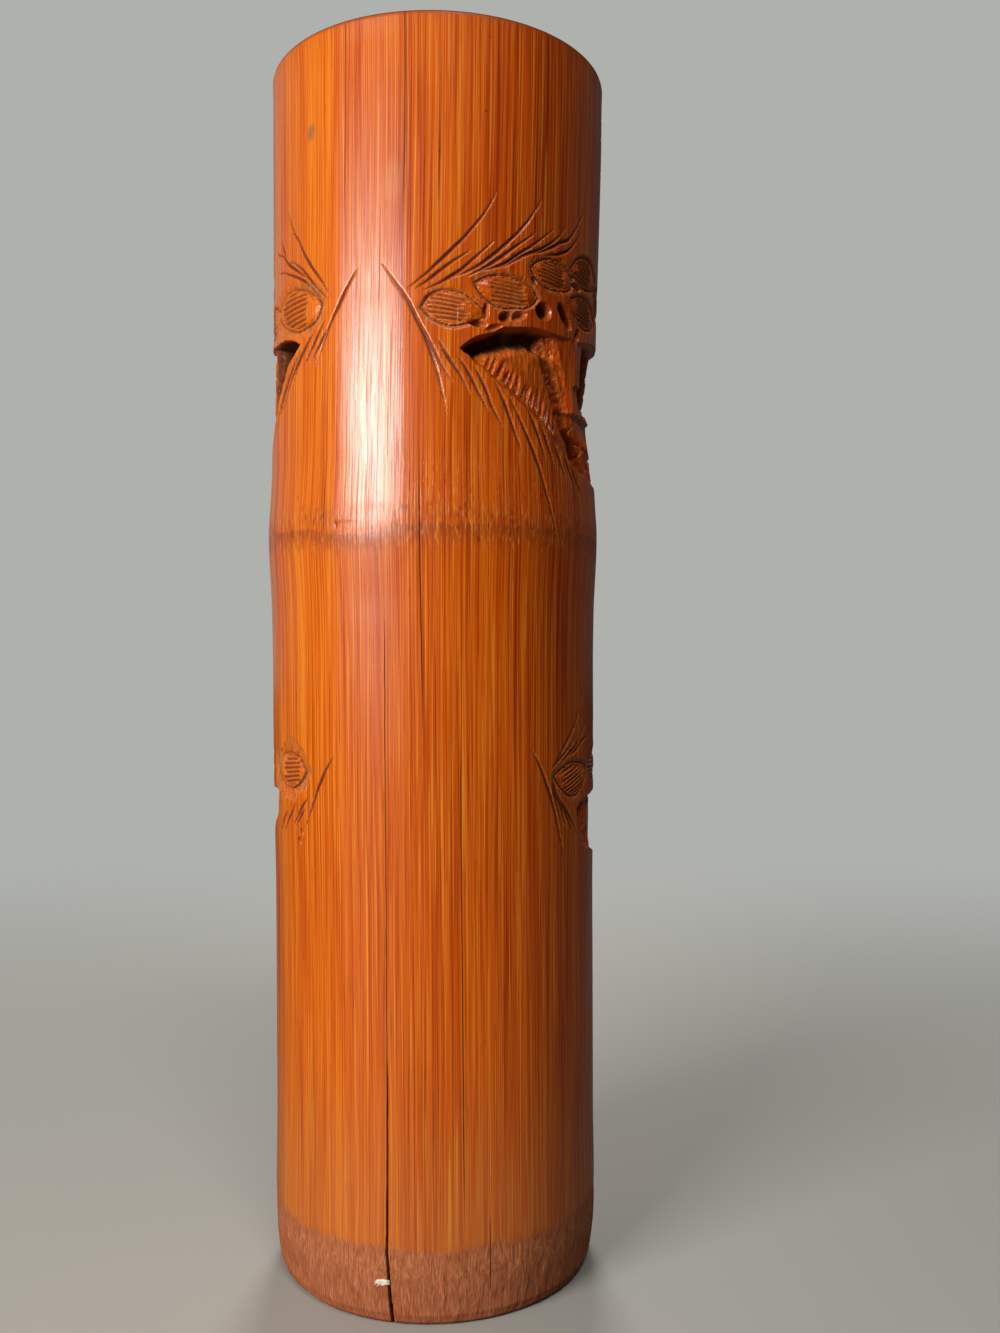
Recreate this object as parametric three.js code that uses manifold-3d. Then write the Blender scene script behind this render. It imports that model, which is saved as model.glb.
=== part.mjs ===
// Bamboo brush pot: one tall length of bamboo culm, its floor diaphragm and the ring
// that is left of its middle diaphragm.
//
// Millimetres, +Z up, origin at the centre of the foot. The plain back faces -Y and the
// carved front +Y. The carving is drawn flat and wrapped round the culm. A drawn point
// is [degrees from the back towards +X, share of the height of its scene].

import * as THREE from "three";
import { TessellateModifier } from "three/addons/modifiers/TessellateModifier.js";
import { mergeVertices } from "three/addons/utils/BufferGeometryUtils.js";
import Module from "manifold-3d";

const wasm = await Module();
wasm.setup();

// Culm
const potHeight = 300;
const nodeHeight = 186;
const skinRadius = 42;
const upperWall = 9.4;
const lowerWall = 10.2;
const rimRound = 1.6;
const nodeTaper = 9;
const nodeLean = -0.65;
const rimLean = 0.55;

// Outside of the culm from the foot to the node, and from the node to the rim. Each entry
// is [share of that length, share of skinRadius].
const lowerSkinShares = [
  [0, 0.91], [0.005, 0.935], [0.016, 0.957], [0.048, 0.975], [0.076, 0.981], [0.204, 0.974],
  [0.516, 0.976], [0.688, 0.986], [0.828, 0.987], [0.898, 0.993], [0.968, 1.01], [1, 1.012],
];
const upperSkinShares = [
  [0.053, 1.002], [0.114, 0.993], [0.456, 0.995], [0.623, 1.002], [0.851, 1.012],
  [0.982, 1.014], [0.995, 1.003], [1, 0.98],
];

// Diaphragms: the floor and, at the node, the ring, each on a ledge of the bore
const fitGap = 0.3;
const floorFoot = 12;
const floorThickness = 4.5;
const floorDish = 1;
const floorFillet = 3;
const floorSeat = 1.6;
const ringDrop = 3.5;
const ringThickness = 4;
const ringWidth = 5.6;
const ringBevel = 1;
const ringSeat = 1.7;

// Carving
const fieldDepth = 6;
const ditchDepth = 1.2;
const ditchWidth = 1.3;
const overrun = 2;
const facetLength = 14;
const sceneGap = 2;
const upperScene = { foot: nodeHeight + sceneGap, height: 75 };
const lowerScene = { foot: 85, height: 60 };
const padLength = 15;
const padHeight = 7.8;

// How far below the skin each kind of standing relief ends
const trunkSink = 0.7;
const rockSink = 1.6;
const branchSink = 2.3;
const roofSink = 2;
const postSink = 3.2;

// Drying crack up the back, open at the foot
const crackHeight = 175;
const crackWidth = 0.65;
const crackDepth = 3;

// Each entry is [degrees, share of crackHeight, share of crackWidth].
const crackShares = [
  [-12.3, 0, 1], [-12.8, 0.06, 0.9], [-13.7, 0.09, 0.7], [-13.4, 0.23, 0.5], [-13.5, 0.63, 0.4],
  [-13.5, 1, 0],
];

const culmSegments = 40;
const padSegments = 4;
const lipSegments = 4;
const splitRounds = 12;

// Sunk field of the upper scene: its edge under the leaf pads, then back along its lower lip
const upperFieldShares = [
  [11, 0.475], [14, 0.503], [20, 0.53], [28, 0.557], [36, 0.562], [45, 0.556], [56, 0.562],
  [66, 0.568], [76, 0.585], [88, 0.6], [102, 0.605], [118, 0.598], [134, 0.61], [150, 0.604],
  [165, 0.618], [180, 0.61], [197, 0.62], [214, 0.605], [230, 0.61], [247, 0.6], [262, 0.6],
  [277, 0.582], [290, 0.57], [300, 0.565], [307, 0.552], [312, 0.53],
  [305.5, 0.487], [300.5, 0.43], [296, 0.37], [291, 0.307], [285, 0.245], [277, 0.18],
  [267, 0.135], [254, 0.1], [238, 0.08], [220, 0.062], [200, 0.05], [180, 0.045],
  [160, 0.05], [140, 0.06], [120, 0.07], [100, 0.09], [85, 0.11], [72, 0.13], [62, 0.14],
  [56, 0.16], [50, 0.195], [46, 0.225], [42, 0.26], [36, 0.297], [28, 0.35], [20, 0.405],
  [14, 0.455],
];

// Relief left standing in the upper field
const upperReliefs = [
  { kind: "trunk", shares: [
    [39, 0.6], [43, 0.553], [41.5, 0.515], [44, 0.47], [47, 0.42], [49.5, 0.37], [51.5, 0.31],
    [54, 0.275], [59, 0.25], [62.5, 0.2], [66, 0.14], [80, 0.1], [92, 0.12], [95, 0.2],
    [91, 0.29], [82, 0.33], [73, 0.345], [64, 0.355], [64, 0.45], [65, 0.53], [68, 0.6],
    [54, 0.63],
  ] },
  { kind: "trunk", shares: [
    [92, 0.66], [95, 0.58], [99, 0.5], [103, 0.42], [104, 0.34], [101, 0.26], [98, 0.18],
    [97, 0.1], [100, 0.03], [122, 0.02], [120, 0.1], [116, 0.17], [114, 0.25], [115, 0.33],
    [114, 0.41], [111, 0.49], [113, 0.56], [119, 0.66],
  ] },
  { kind: "trunk", shares: [
    [222, 0.66], [229, 0.58], [234, 0.5], [233, 0.42], [230, 0.34], [232, 0.26], [229, 0.18],
    [224, 0.1], [222, 0.03], [246, 0.03], [250, 0.1], [246, 0.17], [243, 0.25], [242, 0.33],
    [244, 0.41], [249, 0.49], [255, 0.56], [258, 0.66],
  ] },
  { kind: "trunk", shares: [
    [266, 0.66], [271, 0.56], [274, 0.48], [273, 0.4], [268, 0.32], [261, 0.24], [256, 0.16],
    [262, 0.06], [280, 0.1], [292, 0.22], [298, 0.33], [294, 0.4], [292, 0.48], [293, 0.54],
    [297, 0.62],
  ] },
  { kind: "branch", shares: [
    [110, 0.46], [120, 0.475], [130, 0.51], [139, 0.505], [148, 0.525], [154, 0.515],
    [148, 0.5], [139, 0.478], [130, 0.482], [120, 0.448], [110, 0.425],
  ] },
  { kind: "branch", shares: [
    [235, 0.47], [226, 0.5], [217, 0.485], [209, 0.51], [202, 0.505], [209, 0.485],
    [217, 0.455], [226, 0.465], [235, 0.435],
  ] },
  { kind: "rock", shares: [
    [124, -0.02], [126, 0.1], [131, 0.15], [138, 0.14], [142, 0.2], [150, 0.19], [154, 0.12],
    [161, 0.1], [164, -0.02],
  ] },
  { kind: "rock", shares: [
    [160, -0.02], [164, 0.15], [167, 0.19], [195, 0.19], [199, 0.15], [202, -0.02],
  ] },
  { kind: "rock", shares: [
    [198, -0.02], [200, 0.1], [206, 0.16], [213, 0.15], [217, 0.22], [225, 0.2], [228, 0.12],
    [231, -0.02],
  ] },
  { kind: "post", shares: [[170, 0.17], [172, 0.17], [172, 0.37], [170, 0.37]] },
  { kind: "post", shares: [[180, 0.17], [182, 0.17], [182, 0.37], [180, 0.37]] },
  { kind: "post", shares: [[190, 0.17], [192, 0.17], [192, 0.37], [190, 0.37]] },
  { kind: "roof", shares: [
    [161, 0.345], [166, 0.36], [171, 0.39], [175, 0.435], [181, 0.465], [187, 0.435],
    [191, 0.39], [196, 0.36], [201, 0.345], [195, 0.33], [167, 0.33],
  ] },
];

// Leaf pads over the upper field. Each entry is [degrees, share, size share].
const upperPadShares = [
  [9, 0.6, 0.92], [26.8, 0.663, 1], [45.3, 0.745, 0.92], [64.5, 0.66, 1], [63.5, 0.805, 0.92],
  [84, 0.745, 1], [103, 0.7, 1], [122.5, 0.79, 1], [141.5, 0.705, 1], [161, 0.8, 1],
  [180, 0.71, 1], [199.5, 0.8, 1], [218.5, 0.705, 1], [238, 0.79, 1], [257, 0.7, 1],
  [275, 0.775, 1], [286, 0.655, 0.94], [309.7, 0.65, 1.24],
];

// Sunk field of the lower scene: its edge under the leaf pads, then back along its lower lip
const lowerFieldShares = [
  [60.3, 0.52], [63, 0.545], [68, 0.562], [76, 0.57], [88, 0.585], [102, 0.59], [118, 0.582],
  [134, 0.592], [150, 0.585], [168, 0.595], [186, 0.587], [204, 0.595], [222, 0.585],
  [240, 0.59], [256, 0.582], [270, 0.592], [284, 0.6], [293, 0.598], [299.5, 0.575],
  [295, 0.53], [291, 0.485], [284, 0.43], [276, 0.37], [266, 0.31], [253, 0.26],
  [238, 0.22], [220, 0.19], [200, 0.175], [180, 0.17], [160, 0.175], [140, 0.19],
  [120, 0.21], [103, 0.25], [90, 0.3], [78, 0.33], [70, 0.345], [65, 0.385],
  [62.5, 0.42], [61, 0.47],
];

// Relief left standing in the lower field
const lowerReliefs = [
  { kind: "trunk", shares: [
    [86, 0.66], [91, 0.58], [96, 0.5], [98, 0.42], [95, 0.34], [91, 0.27], [90, 0.18],
    [114, 0.16], [112, 0.24], [108, 0.31], [110, 0.39], [110, 0.47], [107, 0.54], [111, 0.64],
  ] },
  { kind: "trunk", shares: [
    [230, 0.65], [236, 0.57], [241, 0.49], [240, 0.41], [237, 0.33], [238, 0.25], [235, 0.16],
    [262, 0.2], [259, 0.28], [255, 0.36], [255, 0.44], [259, 0.51], [264, 0.57], [268, 0.65],
  ] },
  { kind: "branch", shares: [
    [106, 0.49], [116, 0.5], [126, 0.53], [136, 0.52], [143, 0.535], [136, 0.493],
    [126, 0.5], [116, 0.468], [106, 0.455],
  ] },
  { kind: "rock", shares: [
    [66, 0.3], [67, 0.42], [71, 0.5], [78, 0.56], [85, 0.54], [91, 0.45], [94, 0.35],
    [97, 0.2],
  ] },
  { kind: "rock", shares: [
    [124, 0.1], [127, 0.24], [133, 0.29], [141, 0.27], [145, 0.34], [153, 0.32], [157, 0.24],
    [162, 0.1],
  ] },
  { kind: "rock", shares: [
    [196, 0.1], [199, 0.22], [206, 0.27], [212, 0.34], [220, 0.33], [224, 0.26], [229, 0.1],
  ] },
  { kind: "rock", shares: [
    [262, 0.24], [266, 0.38], [270, 0.5], [277, 0.57], [285, 0.56], [291, 0.5], [288, 0.42],
    [276, 0.32],
  ] },
  { kind: "post", shares: [
    [163, 0.335], [168, 0.29], [186, 0.285], [193, 0.335], [186, 0.318], [168, 0.318],
  ] },
  { kind: "post", shares: [
    [171, 0.31], [172.5, 0.36], [178, 0.385], [183.5, 0.36], [185, 0.31],
  ] },
];

// Leaf pads over the lower field. Each entry is [degrees, share, size share].
const lowerPadShares = [
  [58.5, 0.645, 1], [82, 0.69, 1], [106, 0.705, 1], [130, 0.7, 1], [154, 0.705, 1],
  [178, 0.71, 1], [202, 0.71, 1], [226, 0.705, 1], [250, 0.705, 1], [274, 0.71, 1],
  [304.5, 0.687, 1],
];

const reliefSinks = {
  trunk: trunkSink, branch: branchSink, rock: rockSink, roof: roofSink, post: postSink,
};

const upperBore = skinRadius - upperWall;
const lowerBore = skinRadius - lowerWall;
const nodeBore = upperBore - ringSeat;
const footBore = lowerBore - floorSeat;
const ringFoot = nodeHeight - ringDrop;

// The skin's profile as points (radius, height)
const skinProfile = [
  ...lowerSkinShares.map(([share, radiusShare]) => (
    new THREE.Vector2(skinRadius * radiusShare, nodeHeight * share))),
  ...upperSkinShares.map(([share, radiusShare]) => (
    new THREE.Vector2(skinRadius * radiusShare, nodeHeight + (potHeight - nodeHeight) * share))),
];

// Radius of the skin at a height, along straight lines between the profile's points
function skinAt(height) {
  const inside = THREE.MathUtils.clamp(height, 0, potHeight);
  const upper = Math.max(1, skinProfile.findIndex((point) => point.y >= inside));
  const [below, above] = [skinProfile[upper - 1], skinProfile[upper]];
  return THREE.MathUtils.mapLinear(inside, below.y, above.y, below.x, above.x);
}

// The culm grows a little crooked: sideways place of its centre at a height.
function leanAt(height) {
  const toNode = THREE.MathUtils.smoothstep(height, 0, nodeHeight);
  const toRim = THREE.MathUtils.smoothstep(height, nodeHeight, potHeight);
  return nodeLean * toNode + (rimLean - nodeLean) * toRim;
}

function leanGeometry(geometry) {
  const position = geometry.attributes.position;
  for (let i = 0; i < position.count; i += 1) {
    position.setX(i, position.getX(i) + leanAt(position.getZ(i)));
  }
  return geometry;
}

function turnedGeometry(profile) {
  return new THREE.LatheGeometry(profile, culmSegments).rotateX(Math.PI / 2);
}

// Closed solids and the meshes made of them
function solidOf(geometry) {
  const bare = geometry.clone();
  bare.deleteAttribute("normal");
  bare.deleteAttribute("uv");
  const merged = mergeVertices(bare);
  return new wasm.Manifold(new wasm.Mesh({
    numProp: 3,
    vertProperties: new Float32Array(merged.attributes.position.array),
    triVerts: new Uint32Array(merged.index.array),
  }));
}

function geometryOf(solid) {
  const mesh = solid.getMesh();
  const geometry = new THREE.BufferGeometry();
  geometry.setAttribute("position", new THREE.BufferAttribute(mesh.vertProperties, mesh.numProp));
  geometry.setIndex(new THREE.BufferAttribute(mesh.triVerts, 1));
  geometry.computeVertexNormals();
  return geometry;
}

function joined(solids) {
  return solids.reduce((sum, solid) => sum.add(solid));
}

// Drawn outlines
function flatPoint(scene, [degrees, share]) {
  const along = THREE.MathUtils.degToRad(degrees) * skinRadius;
  return new THREE.Vector2(along, scene.foot + share * scene.height);
}

function drawnShape(scene, shares) {
  return new THREE.Shape(shares.map((point) => flatPoint(scene, point)));
}

// A ring round a leaf pad: the ditch that parts the pad from the skin
function ditchShape(scene, [degrees, share, sizeShare]) {
  const centre = flatPoint(scene, [degrees, share]);
  const [shape, hole] = [ditchWidth, 0].map((margin) => {
    const halfLength = padLength / 2 * sizeShare + margin;
    const halfHeight = padHeight / 2 * sizeShare + margin;
    const path = new THREE.Shape();
    path.absellipse(centre.x, centre.y, halfLength, halfHeight, 0, 2 * Math.PI);
    return path;
  });
  shape.holes.push(hole);
  return shape;
}

// A drawn shape as a solid between two distances from the skin, bent round the culm
function wrapped(shape, from, to, longestEdge) {
  const flat = new THREE.ExtrudeGeometry(shape, {
    depth: to - from, bevelEnabled: false, curveSegments: padSegments,
  });
  const geometry = new TessellateModifier(longestEdge, splitRounds).modify(flat);
  const position = geometry.attributes.position;
  for (let i = 0; i < position.count; i += 1) {
    const angle = position.getX(i) / skinRadius;
    const height = position.getY(i);
    const radius = skinAt(height) + from + position.getZ(i);
    const across = radius * Math.sin(angle) + leanAt(height);
    position.setXYZ(i, across, -radius * Math.cos(angle), height);
  }
  return solidOf(geometry);
}

// The sunk field of a scene, less the relief that stands in it
function fieldCut(scene, fieldShares, reliefs) {
  const field = wrapped(drawnShape(scene, fieldShares), -fieldDepth, overrun, facetLength);
  const standing = reliefs.map(({ kind, shares }) => wrapped(
    drawnShape(scene, shares), -fieldDepth - overrun, -reliefSinks[kind], facetLength));
  return field.subtract(joined(standing));
}

function ditchCut(scene, pads) {
  return joined(pads.map((pad) => (
    wrapped(ditchShape(scene, pad), -ditchDepth, overrun, facetLength))));
}

function crackCut() {
  const scene = { foot: 0, height: crackHeight };
  const sides = [-1, 1].map((side) => crackShares.map(([degrees, share, widthShare]) => {
    const point = flatPoint(scene, [degrees, share]);
    return new THREE.Vector2(point.x + side * crackWidth * widthShare / 2, point.y);
  }));
  const [left, right] = sides;
  const mouth = [left[0], right[0]].map((point) => new THREE.Vector2(point.x, -overrun));
  const outline = [mouth[0], mouth[1], ...right, ...left.slice(0, -1).reverse()];
  return wrapped(new THREE.Shape(outline), -crackDepth, overrun, crackHeight);
}

// Culm: outside up to the rim, over it, and down the bore past both diaphragm seats
function culmBlank() {
  const lip = new THREE.EllipseCurve(
    upperBore + rimRound, potHeight - rimRound, rimRound, rimRound, Math.PI / 2, Math.PI);
  const bore = [
    [upperBore, ringFoot - fitGap],
    [nodeBore, ringFoot - fitGap],
    [nodeBore, ringFoot - ringThickness],
    [lowerBore, ringFoot - ringThickness - nodeTaper],
    [lowerBore, floorFoot - fitGap],
    [footBore, floorFoot - fitGap],
    [footBore, 0],
  ].map(([radius, height]) => new THREE.Vector2(radius, height));
  const profile = [...skinProfile, ...lip.getPoints(lipSegments), ...bore, skinProfile[0]];
  return leanGeometry(turnedGeometry(profile));
}

function culmGeometry() {
  const cuts = joined([
    fieldCut(upperScene, upperFieldShares, upperReliefs),
    fieldCut(lowerScene, lowerFieldShares, lowerReliefs),
    ditchCut(upperScene, upperPadShares),
    ditchCut(lowerScene, lowerPadShares),
    crackCut(),
  ]);
  return geometryOf(solidOf(culmBlank()).subtract(cuts));
}

// Floor diaphragm: flat in the middle, turned up where it meets the wall, hollow below
function floorGeometry() {
  const radius = lowerBore - fitGap;
  const top = floorThickness;
  const profile = [
    [0, floorDish],
    [radius / 2, floorDish],
    [radius - floorFillet, 0],
    [radius, 0],
    [radius, top + floorDish],
    [radius - floorFillet / 2, top + floorDish / 3],
    [radius - floorFillet, top],
    [0, top],
  ].map(([across, height]) => new THREE.Vector2(across, height));
  return turnedGeometry(profile);
}

// Ring of the middle diaphragm, thinner at its knocked-out edge
function ringGeometry() {
  const radius = upperBore - fitGap;
  const inside = upperBore - ringWidth;
  const profile = [
    [radius, 0],
    [radius, ringThickness],
    [inside + ringBevel, ringThickness],
    [inside, ringThickness - ringBevel],
    [inside, ringBevel],
    [inside + ringBevel, 0],
    [radius, 0],
  ].map(([across, height]) => new THREE.Vector2(across, height));
  return turnedGeometry(profile);
}

function piece(name, geometry, color, roughness, height) {
  const material = new THREE.MeshStandardMaterial({ color, roughness, metalness: 0 });
  const mesh = new THREE.Mesh(geometry, material);
  mesh.name = name;
  mesh.position.set(leanAt(height), 0, height);
  return mesh;
}

const pot = new THREE.Group();
pot.add(
  piece("culm", culmGeometry(), "#c9701f", 0.35, 0),
  piece("floor_septum", floorGeometry(), "#b98a55", 0.7, floorFoot),
  piece("middle_septum_ring", ringGeometry(), "#b98a55", 0.7, ringFoot),
);

export default pot;
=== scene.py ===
# Bamboo brush pot: the looks of one carved length of culm, its floor and the ring of its
# middle diaphragm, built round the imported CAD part.
import math

import bpy
import numpy as np
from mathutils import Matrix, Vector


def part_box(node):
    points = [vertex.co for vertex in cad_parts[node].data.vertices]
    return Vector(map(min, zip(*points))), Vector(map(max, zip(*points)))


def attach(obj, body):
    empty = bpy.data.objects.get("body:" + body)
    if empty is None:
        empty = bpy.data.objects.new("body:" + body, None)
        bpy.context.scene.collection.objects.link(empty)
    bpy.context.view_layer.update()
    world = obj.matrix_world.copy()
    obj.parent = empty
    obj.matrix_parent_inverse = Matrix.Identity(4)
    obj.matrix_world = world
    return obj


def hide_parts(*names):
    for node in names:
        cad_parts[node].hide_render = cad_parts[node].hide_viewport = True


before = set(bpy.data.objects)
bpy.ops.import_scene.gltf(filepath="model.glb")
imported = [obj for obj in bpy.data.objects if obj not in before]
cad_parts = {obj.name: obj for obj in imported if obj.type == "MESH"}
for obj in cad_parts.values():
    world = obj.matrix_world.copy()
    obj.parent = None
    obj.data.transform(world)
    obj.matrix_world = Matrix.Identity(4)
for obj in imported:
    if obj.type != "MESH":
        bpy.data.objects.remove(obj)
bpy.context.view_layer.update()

mm = 0.001

# The culm's own sizes, in mm
culm = {
    "height": 300,
    "nodeHeight": 186,
    "skinRadius": 42,
    "upperBore": 32.6,
    "lowerBore": 31.8,
    "nodeBore": 30.9,
    "footBore": 30.2,
    "ringSeat": (169.5, 178.5, 182.2),   # taper starts, narrow bore starts, ledge
    "floorLedge": 11.7,
    "nodeLean": -0.65,
    "rimLean": 0.55,
    # [share of the length from foot to node, share of skinRadius]
    "lowerSkin": [
        (0, .91), (.005, .935), (.016, .957), (.048, .975), (.076, .981), (.204, .974),
        (.516, .976), (.688, .986), (.828, .987), (.898, .993), (.968, 1.01), (1, 1.012)],
    # [share of the length from node to rim, share of skinRadius]
    "upperSkin": [
        (.053, 1.002), (.114, .993), (.456, .995), (.623, 1.002), (.851, 1.012),
        (.982, 1.014), (.995, 1.003), (1, .98)],
    "firstDegree": -18,        # where the mesh's columns start, a plain strip of the back
    "undulation": 0.14,        # how far the skin sinks below a true round
    "footScrape": 0.22,
}

# Spacing of the mesh: [from, to, step]. Degrees round the culm and mm up it
columnSteps = [
    (-18, -14.6, .37), (-14.6, -11.6, .12), (-11.6, 96, .37), (96, 278, .58), (278, 342, .37)]
rowSteps = [
    (0, 3, .35), (3, 24, .5), (24, 88, 2.5), (88, 119, .36), (119, 134, .2),
    (134, 149, .36), (149, 178, 2.5), (178, 200, .4), (200, 226, .28), (226, 252, .2),
    (252, 264, .32), (264, 298, 2.2)]


def spaced(steps):
    values = []
    for low, high, step in steps:
        values.append(np.linspace(low, high, max(1, round((high - low) / step)), endpoint=False))
    return np.concatenate(values)


def smoothStep(value, low, high):
    share = np.clip((value - low) / (high - low), 0, 1)
    return share * share * (3 - 2 * share)


def skinAt(height):
    # the CAD profile with its corners eased
    points = [(share * culm["nodeHeight"], radius) for share, radius in culm["lowerSkin"]]
    upper = culm["height"] - culm["nodeHeight"]
    points += [(culm["nodeHeight"] + share * upper, radius) for share, radius in culm["upperSkin"]]
    heights, shares = zip(*points)
    eased = [np.interp(height + shift, heights, shares) for shift in (-1.5, -.75, 0, .75, 1.5)]
    sharp = np.interp(height, heights, shares)
    inner = smoothStep(height, 3, 6) * (1 - smoothStep(height, 293, 297))
    share = sharp + (np.mean(eased, axis=0) - sharp) * inner
    return culm["skinRadius"] * share


def leanAt(height):
    node, rim = culm["nodeLean"], culm["rimLean"]
    return (node * smoothStep(height, 0, culm["nodeHeight"])
            + (rim - node) * smoothStep(height, culm["nodeHeight"], culm["height"]))


def boreAt(height):
    start, narrow, ledge = culm["ringSeat"]
    radius = np.interp(height, [culm["floorLedge"], start, narrow],
                       [culm["lowerBore"], culm["lowerBore"], culm["nodeBore"]])
    radius = np.where(height > ledge, culm["upperBore"], radius)
    return np.where(height < culm["floorLedge"], culm["footBore"], radius)


def ripple(degrees, height, across, along, seed):
    # smooth noise from -1 to 1 that closes round the culm; grain of across x along mm
    count = max(3, round(math.tau * culm["skinRadius"] / across))
    layers = int(culm["height"] / along) + 6
    table = np.random.default_rng(seed).uniform(-1, 1, (count, layers))
    u, v = np.broadcast_arrays(degrees / 360 % 1 * count, height / along + 2)
    column, row = np.floor(u).astype(int), np.floor(v).astype(int)
    fu, fv = smoothStep(u - column, 0, 1), smoothStep(v - row, 0, 1)
    column %= count
    row = np.clip(row, 0, layers - 2)
    right = (column + 1) % count
    low = table[column, row] * (1 - fu) + table[right, row] * fu
    high = table[column, row + 1] * (1 - fu) + table[right, row + 1] * fu
    return low * (1 - fv) + high * fv


def cells(degrees, height, across, along, seed):
    # Worley cells that close round the culm: nearest and second distance, in cell widths, and
    # a steady number for each cell
    count = max(3, round(math.tau * culm["skinRadius"] / across))
    layers = int(culm["height"] / along) + 8
    random = np.random.default_rng(seed)
    spots = random.uniform(.1, .9, (count, layers, 2))
    marks = random.uniform(0, 1, (count, layers))
    u, v = np.broadcast_arrays(degrees / 360 % 1 * count, height / along + 3)
    column, row = np.floor(u).astype(int), np.floor(v).astype(int)
    nearest = np.full(u.shape, 9.0)
    second = np.full(u.shape, 9.0)
    mark = np.zeros(u.shape)
    for stepAcross in (-1, 0, 1):
        for stepUp in (-1, 0, 1):
            ci = (column + stepAcross) % count
            ri = np.clip(row + stepUp, 0, layers - 1)
            du = column + stepAcross + spots[ci, ri, 0] - u
            dv = row + stepUp + spots[ci, ri, 1] - v
            distance = np.hypot(du, dv)
            closer = distance < nearest
            second = np.where(closer, nearest, np.minimum(second, distance))
            mark = np.where(closer, marks[ci, ri], mark)
            nearest = np.where(closer, distance, nearest)
    return nearest, second, mark


# Drawing on the unrolled skin
columnDegrees = spaced(columnSteps)
rowHeights = spaced(rowSteps)
gridDegrees, gridHeights = np.meshgrid(columnDegrees, rowHeights)
gridAlong = np.radians(gridDegrees) * culm["skinRadius"]
columnAlong = gridAlong[0]

upperScene = {"foot": 188, "height": 75}
lowerScene = {"foot": 85, "height": 60}


def flat(scene, points):
    # [degrees, share of the scene's height] as mm on the unrolled skin
    drawn = []
    for degrees, share in points:
        turned = (degrees - culm["firstDegree"]) % 360 + culm["firstDegree"]
        drawn.append((math.radians(turned) * culm["skinRadius"],
                      scene["foot"] + share * scene["height"]))
    return np.array(drawn)


def window(points, margin):
    # the part of the mesh's grid round some points
    low, high = points.min(axis=0) - margin, points.max(axis=0) + margin
    columns = slice(*np.searchsorted(columnAlong, [low[0], high[0]]))
    rows = slice(*np.searchsorted(rowHeights, [low[1], high[1]]))
    return (rows, columns), gridAlong[rows, columns], gridHeights[rows, columns]


def curved(points, steps=6):
    # a smooth line through the points
    padded = np.vstack([2 * points[0] - points[1], points, 2 * points[-1] - points[-2]])
    line = []
    for a, b, c, d in zip(padded, padded[1:], padded[2:], padded[3:]):
        for t in np.arange(steps) / steps:
            line.append(b + .5 * t * (c - a + t * (2 * a - 5 * b + 4 * c - d
                                                  + t * (3 * (b - c) + d - a))))
    return np.vstack([line, points[-1]])


def lineDistance(along, height, points):
    # distance to an open line, and how far along the line that is, from 0 to 1
    lengths = np.hypot(*np.diff(points, axis=0).T)
    reach = np.concatenate([[0], np.cumsum(lengths)]) / lengths.sum()
    nearest = np.full(along.shape, 1e3)
    share = np.zeros(along.shape)
    for start, end, a, b in zip(points, points[1:], reach, reach[1:]):
        step = end - start
        t = ((along - start[0]) * step[0] + (height - start[1]) * step[1]) / (step @ step)
        t = np.clip(t, 0, 1)
        distance = np.hypot(along - start[0] - t * step[0], height - start[1] - t * step[1])
        share = np.where(distance < nearest, a + (b - a) * t, share)
        nearest = np.minimum(nearest, distance)
    return nearest, share


def insideOf(along, height, points):
    inside = np.zeros(along.shape, bool)
    for (x0, y0), (x1, y1) in zip(points, np.roll(points, -1, axis=0)):
        if y0 == y1:
            continue
        crosses = (y0 > height) != (y1 > height)
        inside ^= crosses & (along < x0 + (height - y0) * (x1 - x0) / (y1 - y0))
    return inside


def outlineDistance(along, height, points):
    # distance to a closed outline, positive inside it
    closed = np.vstack([points, points[:1]])
    distance, _ = lineDistance(along, height, closed)
    return np.where(insideOf(along, height, points), distance, -distance)


# Carving: how deep each cut goes, in mm
carving = {
    "fieldDepth": 6,
    "edgeWall": .9,            # how far the steep upper edge takes to reach the floor
    "bank": 3.6,               # how far the sloping lower lip takes
    "bankShare": .6,
    "bankRun": 13,
    # the floor swells up in the two recess ends that the back shows: depth at the lip,
    # what it gains towards the middle, and the dark gap along the edge and the trunk
    "swell": {"lip": .9, "middle": .9, "gap": 4.8, "gapWidth": (1.6, 6.4)},
    # degrees over which the ends that the back shows go over into the hidden front
    "seenEnds": ((54, 61), (288, 294)),
    # degrees and heights over which shade is painted on the upper recess's left end
    "paintedShadeEnd": ((282, 287), (215, 221)),
    "toolMarks": .38,
    "wobble": .28,             # how unsteady the knife was
    "ditchDepth": 1.2,
    "ditchWidth": 1.3,
    "padDome": .5,
    "padLength": 15,
    "padHeight": 7.8,
    "hatchPitch": .98,
    "hatchDepth": .5,
    "hatchShare": (-.86, .28),  # where the hatching starts and ends along a pad
    "needleDepth": .62,
    "needleWidth": 1.15,
    "heaviest": .35,           # share of a needle's length where it is widest and deepest
    "slashDepth": 1.1,
    # gouge strokes: first and last degree and spacing, then by degree the share of the
    # scene's height that they start at, how far they lean in degrees and how far they rise
    "gouges": {
        "degrees": (19.5, 49, 2.15),
        "start": ((20, 28, 36, 42, 47), (.412, .36, .31, .272, .235)),
        "lean": ((20, 47), (3.3, 1.7)),
        "rise": ((20, 47), (.062, .085))},
}

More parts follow.
